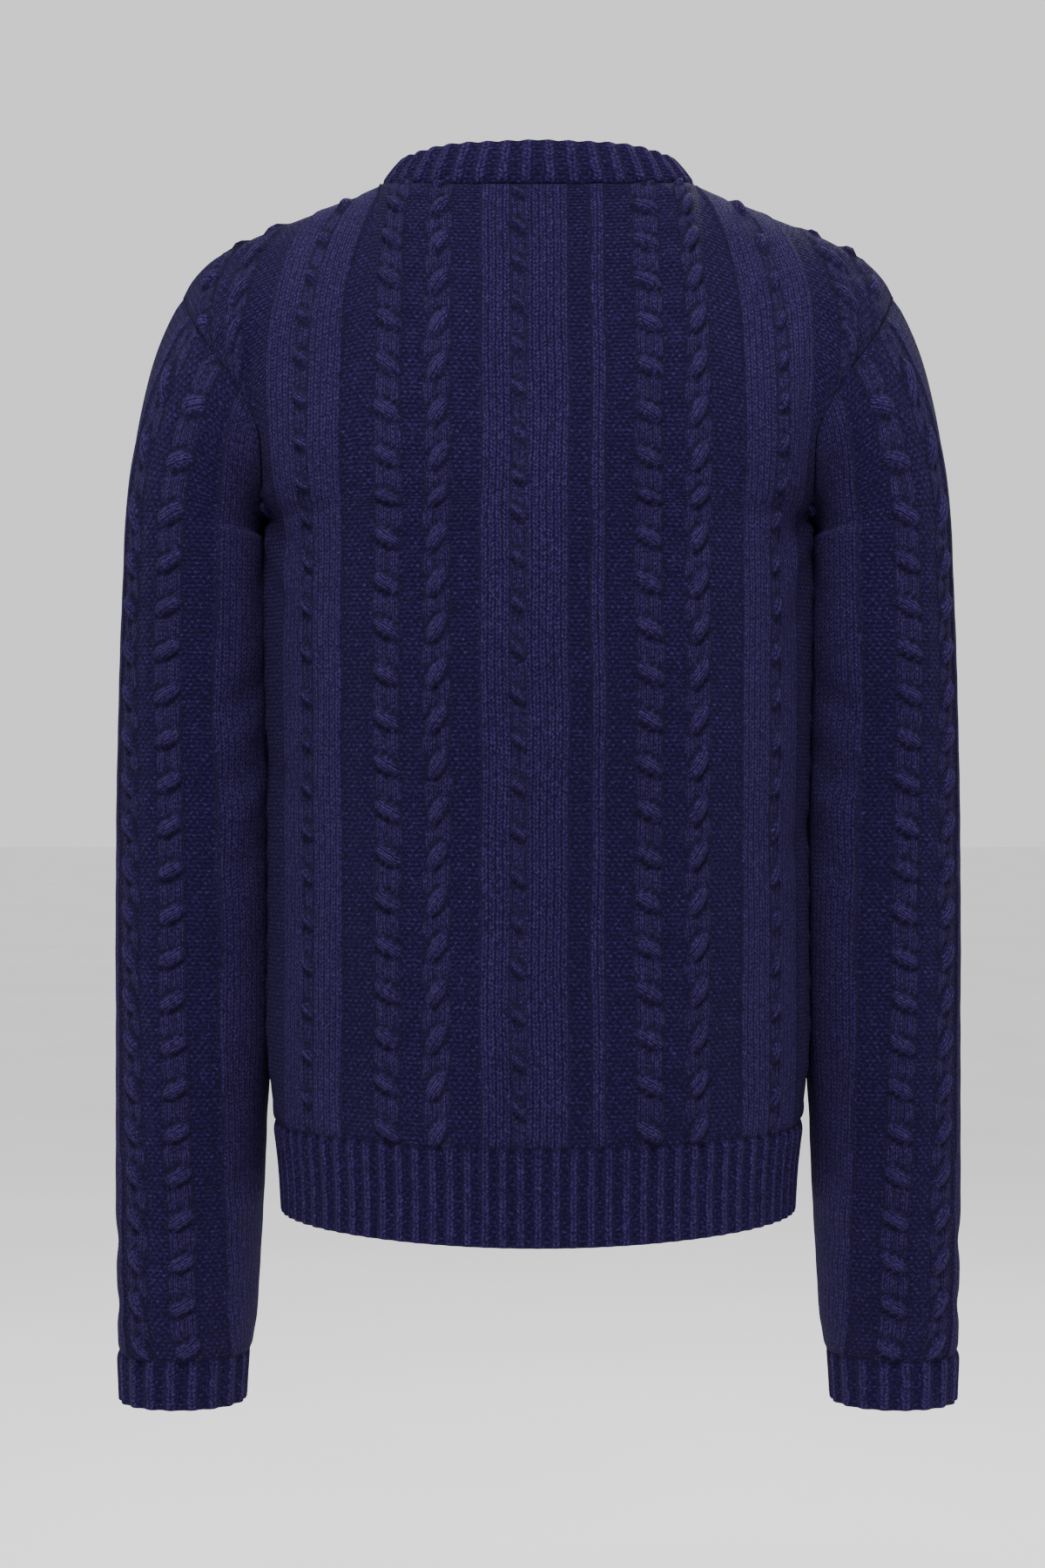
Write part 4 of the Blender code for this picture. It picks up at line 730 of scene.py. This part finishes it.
# ---- sleeve
def sleeve_grid(sheet):
    rows = rib_rows(CUFF_RIB, 1.7, sheet.top)
    columns = panel_columns(0.0, SLEEVE_KNIT, SLEEVE_STEP, SLEEVE_SHARES)
    halves = []
    for form in (sheet.form, sheet.other):
        u, v = panel_grid(form, columns, rows, lambda places, form=form: np.full_like(places, form.top))
        halves.append((u, np.minimum(v, form.top), *form.sample(u, np.minimum(v, form.top))))
    back, front = halves
    front = (-front[0], *front[1:])
    whole = [np.hstack((one, other[:, -2:0:-1])) for one, other in zip(back, front)]
    count = whole[0].shape[1]
    spare = [SPARE_COLUMN + 3 * k for k in range(count % 4)]
    keep = [index for index in range(count) if index not in spare]
    u, v, points, normals = (values[:, keep] for values in whole)
    wide = np.interp(v, sheet.form.heights, sheet.form.widths)
    narrow = np.interp(v, sheet.other.heights, sheet.other.widths)
    fields = SLEEVE_FIELDS + (("knit", SLEEVE_KNIT, 400.0, 0),)
    lift, across, knit, inside = knitting(np.abs(u), v, fields, SLEEVE_START)
    girth = wide + narrow
    ribs = round((sheet.form.widths[0] + sheet.other.widths[0]) / CUFF_RIB_PITCH)
    rib = ribbing(np.where(u >= 0, u, girth + u) / girth, ribs)
    lift, across, knit, inside = over_rib(v, CUFF_RIB, CUFF_JOIN, (lift, across, knit, inside), rib)
    edge = np.where(u >= 0, wide, narrow) - np.abs(u)
    seam = sheet.top - v
    lift = lift * ease(seam / 5.0) * ease(0.25 + edge / 5.0) - 0.75 * np.exp(-(seam / 2.4) ** 2)
    fold = sag(u, v, SLEEVE_FOLDS) * ease(seam / 14.0) * ease((v - 6.0) / 22.0)
    fold = fold + SIDE_FULLNESS * ease((np.abs(u) - 62.0) / 30.0) * ease((v - 150.0) / 60.0) \
        * ease((sheet.form.height_at(SLEEVE_TOP) + 8.0 - v) / 8.0)
    return cloth_grid(points, normals, v, lift, fold, rounded(v, WALL), WALL, across, knit, inside)


# ---- neckband and bands
def both_sides(form, u, v):
    """Points and normals of half a form where u runs to both sides of its middle."""
    points, normals = form.sample(np.abs(u), v)
    flip = np.where(u < 0, -1.0, 1.0)[..., None] * (1.0, 0.0, 0.0) + (0.0, 1.0, 1.0)
    return points * flip, normals * flip


def neckband_grid(neckline):
    form = neckband_sheet(neckline)
    rows = rows_up((0.0, NECKBAND_HEIGHT - 1.8, 1.1))[:-1]
    rows = np.concatenate((rows, NECKBAND_HEIGHT - np.array(EDGE[::-1])))
    count = 190
    share = np.linspace(-1.0, 1.0, 2 * count + 1)
    v = np.tile(rows[:, None], (1, len(share)))
    width = np.interp(v, form.heights, form.widths)
    u = share * width
    dip = NECK_DIP * np.exp(-((np.abs(u) - 84.0) / 27.0) ** 2)
    points, normals = both_sides(form, u, v * (1.0 - dip))
    ribs = round(2 * form.widths[0] / NECK_RIB_PITCH)
    lift, across, knit = ribbing((share[None, :] + 1.0) / 2.0 + 0.0 * v, ribs)
    settle = ease(v / 3.0) * (1.0 - 0.35 * ease((v - 21.0) / 4.0))
    lift = lift * settle - 0.3 * np.exp(-(v / 2.0) ** 2)
    step = BAND_STEP * ease(1.0 - (width + u) / STEP_REACH) * (u < 0)
    lift[0] = -1.2
    down = points[0] - points[2]
    points[0] = points[0] + unit(down) * SEAM_LAP
    turn = rounded(NECKBAND_HEIGHT - v, NECKBAND_WALL)
    grid = cloth_grid(points, normals, v, lift, step, turn, NECKBAND_WALL, across, knit, 0.0 * knit)
    return grid, form


def band_grid(form, lift_out, left, right):
    """A strip up the front, knitted as lengthwise ribs."""
    rows = np.concatenate((EDGE, rows_up((1.8, form.top - 1.8, 2.0)), form.top - np.array(EDGE[::-1])))
    edge = np.array((0.0, 0.15, 0.5, 1.0, 1.6))
    across_band = np.concatenate((left + edge, np.linspace(left + 2.2, right - 2.2, 31), right - edge[::-1]))
    u, v = np.meshgrid(across_band, rows)
    points, normals = both_sides(form, u, v)
    share = (u - left) / (right - left)
    wave = 0.5 - 0.5 * np.cos(2 * np.pi * BAND_RIBS * share)
    lift = -0.3 + 1.05 * wave ** 0.8
    turn = rounded(np.minimum(np.minimum(u - left, right - u), np.minimum(v, form.top - v)), WALL)
    knit = ease((wave - 0.25) / 0.3)
    return cloth_grid(points, normals, v, lift, lift_out, turn, WALL,
                      BAND_RIBS * 2.0 * share - 0.5, knit, 0.0 * knit)


# ---- buttons
SEW_PROFILE = (
    # radius, height: the button's turned section, from its back to the sunk face
    (7.2, 0.0), (8.0, 0.12), (8.7, 0.6), (9.0, 1.3), (9.0, 1.9), (8.85, 2.6), (8.4, 3.08), (7.7, 3.25),
    (7.0, 3.16), (6.5, 2.9), (6.15, 2.62), (5.9, 2.5),
)
SIDES, HOLE_SIDES = 56, 16


def circle(radius, sides, middle=(0.0, 0.0)):
    return [(middle[0] + radius * math.cos(turn), middle[1] + radius * math.sin(turn))
            for turn in (2 * math.pi * step / sides for step in range(sides))]


def button_shape():
    """(points, faces) of a turned button with four holes, its back on z = 0."""
    points, faces = [], []

    def add_loop(loop, height):
        points.extend((x, y, height) for x, y in loop)
        return list(range(len(points) - len(loop), len(points)))

    def join(low, high):
        for i in range(len(low)):
            k = (i + 1) % len(low)
            faces.append((low[i], low[k], high[k], high[i]))

    loops = [add_loop(circle(radius, SIDES), height) for radius, height in SEW_PROFILE]
    for low, high in zip(loops, loops[1:]):
        join(low, high)
    top = SEW_PROFILE[-1][1]
    drilled = []
    for x in (-1, 1):
        for y in (-1, 1):
            middle = (x * BUTTON_HOLE_SPREAD, y * BUTTON_HOLE_SPREAD)
            stack = [add_loop(circle(radius, HOLE_SIDES, middle), height) for radius, height in
                     ((1.2, 0.0), (1.02, 0.3), (1.02, top - 0.35), (1.2, top - 0.08), (1.42, top))]
            for low, high in zip(stack, stack[1:]):
                join(low, high)
            drilled.append((stack[0], stack[-1]))
    for level, rim in ((0, loops[0]), (1, loops[-1])):
        rings = [rim] + [pair[level] for pair in drilled]
        order = [vertex for ring in rings for vertex in ring]
        flat = [[Vector((points[vertex][0], points[vertex][1], 0.0)) for vertex in ring] for ring in rings]
        for triangle in tessellate_polygon(flat):
            corners = [order[corner] for corner in triangle]
            a, b, c = (np.array(points[corner])[:2] for corner in corners)
            up = (b[0] - a[0]) * (c[1] - a[1]) - (b[1] - a[1]) * (c[0] - a[0]) > 0
            faces.append(tuple(corners if up == bool(level) else corners[::-1]))
    return np.array(points, float), faces


def tube(path, radius, sides=8, closed=False):
    """(points, faces) of a round thread along a path."""
    path = np.asarray(path, float)
    count = len(path)
    step = np.roll(path, -1, axis=0) - np.roll(path, 1, axis=0) if closed else np.gradient(path, axis=0)
    step = unit(step)
    side = unit(np.cross(step, (0.13, 0.27, 1.0)))
    other = np.cross(step, side)
    turn = np.linspace(0.0, 2 * np.pi, sides, endpoint=False)
    cos, sin = np.cos(turn)[:, None], np.sin(turn)[:, None]
    points = path[:, None] + radius * (cos * side[:, None] + sin * other[:, None])
    faces = []
    for ring in range(count if closed else count - 1):
        following = (ring + 1) % count
        for k in range(sides):
            m = (k + 1) % sides
            faces.append((ring * sides + k, ring * sides + m, following * sides + m, following * sides + k))
    if not closed:
        faces.append(tuple(range(sides))[::-1])
        faces.append(tuple((count - 1) * sides + k for k in range(sides)))
    return points.reshape(-1, 3), faces


def joined(parts):
    points, faces = [], []
    for part_points, part_faces in parts:
        start = sum(len(one) for one in points)
        points.append(part_points)
        faces += [tuple(start + corner for corner in face) for face in part_faces]
    return np.vstack(points), faces


def thread_shape():
    """The sewing thread: two strands over each pair of holes, pulled into a low arch."""
    parts = []
    spread = BUTTON_HOLE_SPREAD
    for x in (-1, 1):
        for shift in (-0.32, 0.32):
            turn = np.linspace(0.0, np.pi, 15)
            path = np.stack((np.full(15, x * spread + shift), -spread * np.cos(turn),
                             1.2 + 1.95 * np.sin(turn) ** 0.45), axis=1)
            parts.append(tube(path, 0.3))
    return joined(parts)


def buttonhole_shape():
    """The worked edge of a buttonhole: an overcast ring, long across the band."""
    turn = np.linspace(0.0, 2 * np.pi, 72, endpoint=False)
    long = np.stack((10.6 * np.sign(np.cos(turn)) * np.abs(np.cos(turn)) ** 0.55,
                     1.25 * np.sin(turn), 0.55 + 0.22 * np.cos(36 * turn)), axis=1)
    return tube(long, 0.72, 8, closed=True)


def set_on(shape, point, normal):
    """The shape moved from z = 0 to a point, facing along the normal."""
    across = np.array((1.0, 0.0, 0.0))
    up = np.cross(normal, across)
    up = up / np.linalg.norm(up)
    across = np.cross(up, normal)
    return shape[0] @ np.array((across, up, normal)) + point, shape[1]


# ---- materials
WOOL_DARK = (0.0046, 0.0022, 0.018)
WOOL = (0.0130, 0.0064, 0.045)
WOOL_PALE = (0.034, 0.021, 0.092)


class Nodes:
    """Short words for wiring a material."""

    def __init__(self, name):
        self.material = bpy.data.materials.new(name)
        self.material.use_nodes = True
        self.tree = self.material.node_tree
        self.shader = self.tree.nodes["Principled BSDF"]

    def new(self, kind, **settings):
        node = self.tree.nodes.new(kind)
        for key, value in settings.items():
            setattr(node, key, value)
        return node

    def feed(self, socket, value):
        if isinstance(value, (int, float, tuple)):
            socket.default_value = value
        else:
            self.tree.links.new(value, socket)

    def math(self, operation, first, second=None, third=None):
        node = self.new("ShaderNodeMath", operation=operation)
        for socket, value in zip(node.inputs, (first, second, third)):
            if value is not None:
                self.feed(socket, value)
        return node.outputs[0]

    def add(self, first, second):
        return self.math("ADD", first, second)

    def sub(self, first, second):
        return self.math("SUBTRACT", first, second)

    def mul(self, first, second):
        return self.math("MULTIPLY", first, second)

    def fma(self, first, second, third):
        return self.math("MULTIPLY_ADD", first, second, third)

    def shade(self, **values):
        """Values or sockets for the shader, by name with _ for each space."""
        for name, value in values.items():
            self.feed(self.shader.inputs[name.replace("_", " ")], value)

    def bump(self, height, distance, strength=1.0):
        node = self.new("ShaderNodeBump")
        self.feed(node.inputs["Strength"], strength)
        self.feed(node.inputs["Distance"], distance)
        self.feed(node.inputs["Height"], height)
        self.shade(Normal=node.outputs[0])

    def place(self):
        return self.new("ShaderNodeTexCoord").outputs["Object"]

    def mix(self, share, first, second):
        """first + share * (second - first)"""
        return self.math("MULTIPLY_ADD", share, self.math("SUBTRACT", second, first), first)

    def noise(self, vector, scale, detail=2.0, roughness=0.5):
        node = self.new("ShaderNodeTexNoise")
        self.tree.links.new(vector, node.inputs["Vector"])
        node.inputs["Scale"].default_value = scale
        node.inputs["Detail"].default_value = detail
        node.inputs["Roughness"].default_value = roughness
        return node.outputs["Fac"]

    def colours(self, share, *stops):
        """A colour ramp: stops are (place, colour)."""
        ramp = self.new("ShaderNodeValToRGB")
        while len(ramp.color_ramp.elements) < len(stops):
            ramp.color_ramp.elements.new(0.5)
        for element, (place, colour) in zip(ramp.color_ramp.elements, stops):
            element.position, element.color = place, (*colour, 1.0)
        self.feed(ramp.inputs["Fac"], share)
        return ramp.outputs["Color"]


def wool():
    """Navy lambswool: V stitches where knit, purl bumps elsewhere, a soft nap over all."""
    n = Nodes("navy_wool")
    uv = n.new("ShaderNodeUVMap", uv_map="stitches").outputs["UV"]
    place = n.new("ShaderNodeSeparateXYZ")
    n.tree.links.new(uv, place.inputs[0])
    body = n.place()
    stitch = n.new("ShaderNodeSeparateColor")
    n.tree.links.new(n.new("ShaderNodeAttribute", attribute_name="stitch").outputs["Color"], stitch.inputs[0])
    knit, cabled, depth = stitch.outputs[0], stitch.outputs[1], stitch.outputs[2]
    # the yarn isn't even: the stitches wander a little
    stray = n.sub(n.noise(body, 260.0, 1.0), 0.5)
    u = n.fma(stray, 0.35, place.outputs[0])
    v = n.fma(stray, 0.55, place.outputs[1])
    # knit: two legs to a stitch, leaning out as they rise
    aside = n.math("ABSOLUTE", n.fma(n.math("FRACT", u), 2.0, -1.0))
    leg = n.sub(1.0, n.math("POWER", aside, 3.0))
    leg = n.fma(n.math("POWER", n.sub(1.0, aside), 4.0), -0.65, leg)
    slant = n.math("FRACT", n.fma(aside, -0.8, v))
    bow = n.math("ABSOLUTE", n.fma(slant, 2.0, -1.0))
    loop = n.sub(1.0, n.math("POWER", bow, 2.0))
    knit_height = n.mul(n.fma(leg, 0.8, 0.2), n.fma(loop, 0.4, 0.6))
    # purl: short arcs across, each row half a stitch aside
    row = n.math("FLOOR", v)
    wave = n.math("COSINE", n.mul(n.fma(row, 0.5, u), 2 * math.pi))
    bar = n.math("SINE", n.mul(n.math("FRACT", n.fma(wave, 0.14, v)), math.pi))
    purl_height = n.fma(n.mul(bar, n.fma(wave, 0.2, 0.5)), 0.75, 0.16)
    yarn = n.mix(knit, purl_height, knit_height)
    nap = n.noise(body, 1500.0, 3.0, 0.65)
    fuzz = n.noise(body, 520.0, 2.0, 0.6)
    height = n.add(n.fma(fuzz, 0.55, n.mul(nap, 0.45)), yarn)
    n.bump(height, 0.0018)
    # colour: painted shade between the stitches and in the low ground, painted light on the raised stitches;
    # paler random flecks of melange
    melange = n.noise(body, 720.0, 3.0, 0.75)
    patch = n.noise(body, 16.0, 2.0)
    # the yarn's height paints shade in the gaps between stitches and light on their crowns
    shade = n.fma(yarn, 1.15, n.fma(melange, 3.2, -1.9))
    # the cloth's depth paints shade where it lies low: the purl ground, seams, rib joins and round the cable
    # lobes
    shade = n.add(shade, n.fma(depth, 0.45, -0.27))
    shade = n.add(shade, n.fma(patch, 0.24, -0.12))
    shade = n.fma(cabled, 0.03, shade)
    colour = n.colours(shade, (0.0, WOOL_DARK), (0.5, WOOL), (1.0, WOOL_PALE))
    n.shade(Base_Color=colour, Roughness=0.93, Specular_IOR_Level=0.08, Sheen_Weight=0.06,
            Sheen_Roughness=0.45, Sheen_Tint=(0.30, 0.26, 0.62, 1.0))
    return n.material


def yarn_thread():
    """The thread of buttons and buttonholes: the same navy, with fine twist."""
    n = Nodes("navy_thread")
    body = n.place()
    wave = n.new("ShaderNodeTexWave")
    n.tree.links.new(body, wave.inputs["Vector"])
    wave.inputs["Scale"].default_value = 900.0
    wave.inputs["Distortion"].default_value = 1.2
    n.bump(wave.outputs["Fac"], 0.0003)
    colour = n.colours(n.noise(body, 700.0, 2.0), (0.25, WOOL_DARK), (0.75, WOOL))
    n.shade(Base_Color=colour, Roughness=0.7, Sheen_Weight=0.15)
    return n.material


def button_plastic():
    """Moulded resin, dark navy, faintly clouded, with a soft polish and fine handling marks."""
    n = Nodes("navy_button")
    body = n.place()
    cloud = n.noise(body, 190.0, 4.0, 0.6)
    colour = n.colours(cloud, (0.3, (0.005, 0.004, 0.016)), (0.62, (0.010, 0.009, 0.032)),
                       (0.85, (0.022, 0.020, 0.058)))
    marks = n.noise(body, 2600.0, 2.0, 0.6)
    rough = n.fma(marks, 0.14, n.fma(cloud, 0.1, 0.3))
    n.bump(marks, 0.0002, 0.12)
    n.shade(Base_Color=colour, Roughness=rough, Specular_IOR_Level=0.12)
    return n.material


# ---- build
def mirrored(fields):
    return tuple((kind, -end, -start, -lean) for kind, start, end, lean in fields)


def dress():
    cloth = wool()
    back_form = panel_form(1, BACK_MIDDLE, ARMHOLE_BACK)
    front_form = panel_form(-1, FRONT_MIDDLE, ARMHOLE_FRONT)
    neckline = Neckline(back_form, front_form)
    sleeve = Pair(sleeve_form(1, back_form), sleeve_form(-1, front_form))
    half = HALF_FIELDS + OUTER_FIELDS

    fields = tuple(sorted(CENTRE_FIELDS + half + mirrored(half), key=lambda field: field[1]))
    grid = panel(back_form, True, BACK_FOLDS, fields, 0.0, lambda u: np.full_like(u, back_form.top),
                 shift=PATTERN_SHIFT)
    place_cloth("knit_back", shell("knit_back", *grid), "back", cloth)

    fields = tuple(sorted(FRONT_FIELDS + OUTER_FIELDS, key=lambda field: field[1]))
    for name, node, step, mirror in (("knit_front_left", "front_left", 0.0, False),
                                     ("knit_front_right", "front_right", BAND_STEP, True)):
        grid = panel(front_form, False, FRONT_FOLDS, fields, BAND_HALF, neckline.top_of,
                     band_step=step, fine=1.2)
        place_cloth(name, shell(name, *grid, mirror=mirror), node, cloth)

    grid = sleeve_grid(sleeve)
    for node, mirror in (("sleeve_left", False), ("sleeve_right", True)):
        name = "knit_" + node
        place_cloth(name, shell(name, *grid, closed=True, mirror=mirror, step=4), node, cloth)

    grid, form = neckband_grid(neckline)
    place_cloth("knit_neckband", shell("knit_neckband", *grid, step=4), "neckband", cloth)

    middle = band_form(neckline)
    for name, node, lift, left, right in (
            ("knit_button_band", "button_band", 0.0, -BAND_HALF + 0.4, BAND_HALF + 0.8),
            ("knit_buttonhole_band", "buttonhole_band", BAND_STEP, -BAND_HALF - 0.8, BAND_HALF - 0.4)):
        grid = band_grid(middle, lift, left, right)
        place_cloth(name, shell(name, *grid, step=4), node, cloth)

    plastic, thread = button_plastic(), yarn_thread()
    shape, stitches, hole = button_shape(), thread_shape(), buttonhole_shape()
    sewn, worked = [], []
    for index, v in enumerate(np.linspace(middle.top - TOP_BUTTON, LOW_BUTTON, BUTTON_COUNT), 1):
        point, normal = (found[0] for found in middle.sample(np.zeros(1), np.array([v])))
        name = "button_%d" % index
        seat = point + normal * (BAND_STEP + SEAM_GAP + 0.5)
        mesh = make_mesh("turned_" + name, *set_on(shape, seat, normal))
        mesh.set_sharp_from_angle(angle=math.radians(40))
        add_piece("turned_" + name, mesh, plastic, "button", name)
        sewn.append(set_on(stitches, seat, normal))
        worked.append(set_on(hole, point + normal * BAND_STEP, normal))
    for name, parts in (("button_thread", sewn), ("buttonhole_edges", worked)):
        add_piece(name, make_mesh(name, *joined(parts)), thread, "knit")


# ---- room, lights and camera
FLOOR, FLOOR_HALF = -1.05, 30.0
CAMERA_AT = (0.0, 1.5, -0.325)


def plain_room():
    mesh = bpy.data.meshes.new("floor")
    corners = ((-1, -1), (1, -1), (1, 1), (-1, 1))
    mesh.from_pydata([(x * FLOOR_HALF, y * FLOOR_HALF, FLOOR) for x, y in corners], [], [(0, 1, 2, 3)])
    floor = linked("floor", mesh)
    n = Nodes("pale_floor")
    body = n.place()
    colour = n.colours(n.noise(body, 2.0, 2.0), (0.3, (0.86, 0.86, 0.86)), (0.7, (0.9, 0.9, 0.9)))
    n.shade(Base_Color=colour, Roughness=0.9)
    mesh.materials.append(n.material)
    world = bpy.data.worlds.new("pale_room")
    bpy.context.scene.world = world
    world.use_nodes = True
    world.node_tree.nodes["Background"].inputs["Color"].default_value = (1.0, 1.0, 1.0, 1.0)
    world.node_tree.nodes["Background"].inputs["Strength"].default_value = 1.1


def area_light(name, place, target, size, power):
    light = bpy.data.lights.new(name, "AREA")
    light.shape, light.size, light.size_y, light.energy = "RECTANGLE", size[0], size[1], power
    lamp = linked(name, light)
    lamp.location = place
    lamp.rotation_euler = (Vector(target) - Vector(place)).to_track_quat("-Z", "Y").to_euler()


def studio():
    area_light("key", (0.12, 1.3, 1.45), (0.0, 0.0, -0.3), (0.7, 0.5), 60.0)
    area_light("front_key", (-0.5, -1.5, 1.4), (0.0, 0.0, -0.3), (0.8, 0.6), 50.0)
    lens = bpy.data.cameras.new("camera")
    lens.sensor_fit = "VERTICAL"
    lens.sensor_height = 36.0
    lens.lens = 36.0 * 1.5 / 0.8555
    lens.shift_x = -0.01
    camera = linked("camera", lens)
    camera.location = CAMERA_AT
    camera.rotation_euler = (math.radians(90.0), 0.0, math.radians(180.0))
    bpy.context.scene.camera = camera


dress()
plain_room()
studio()
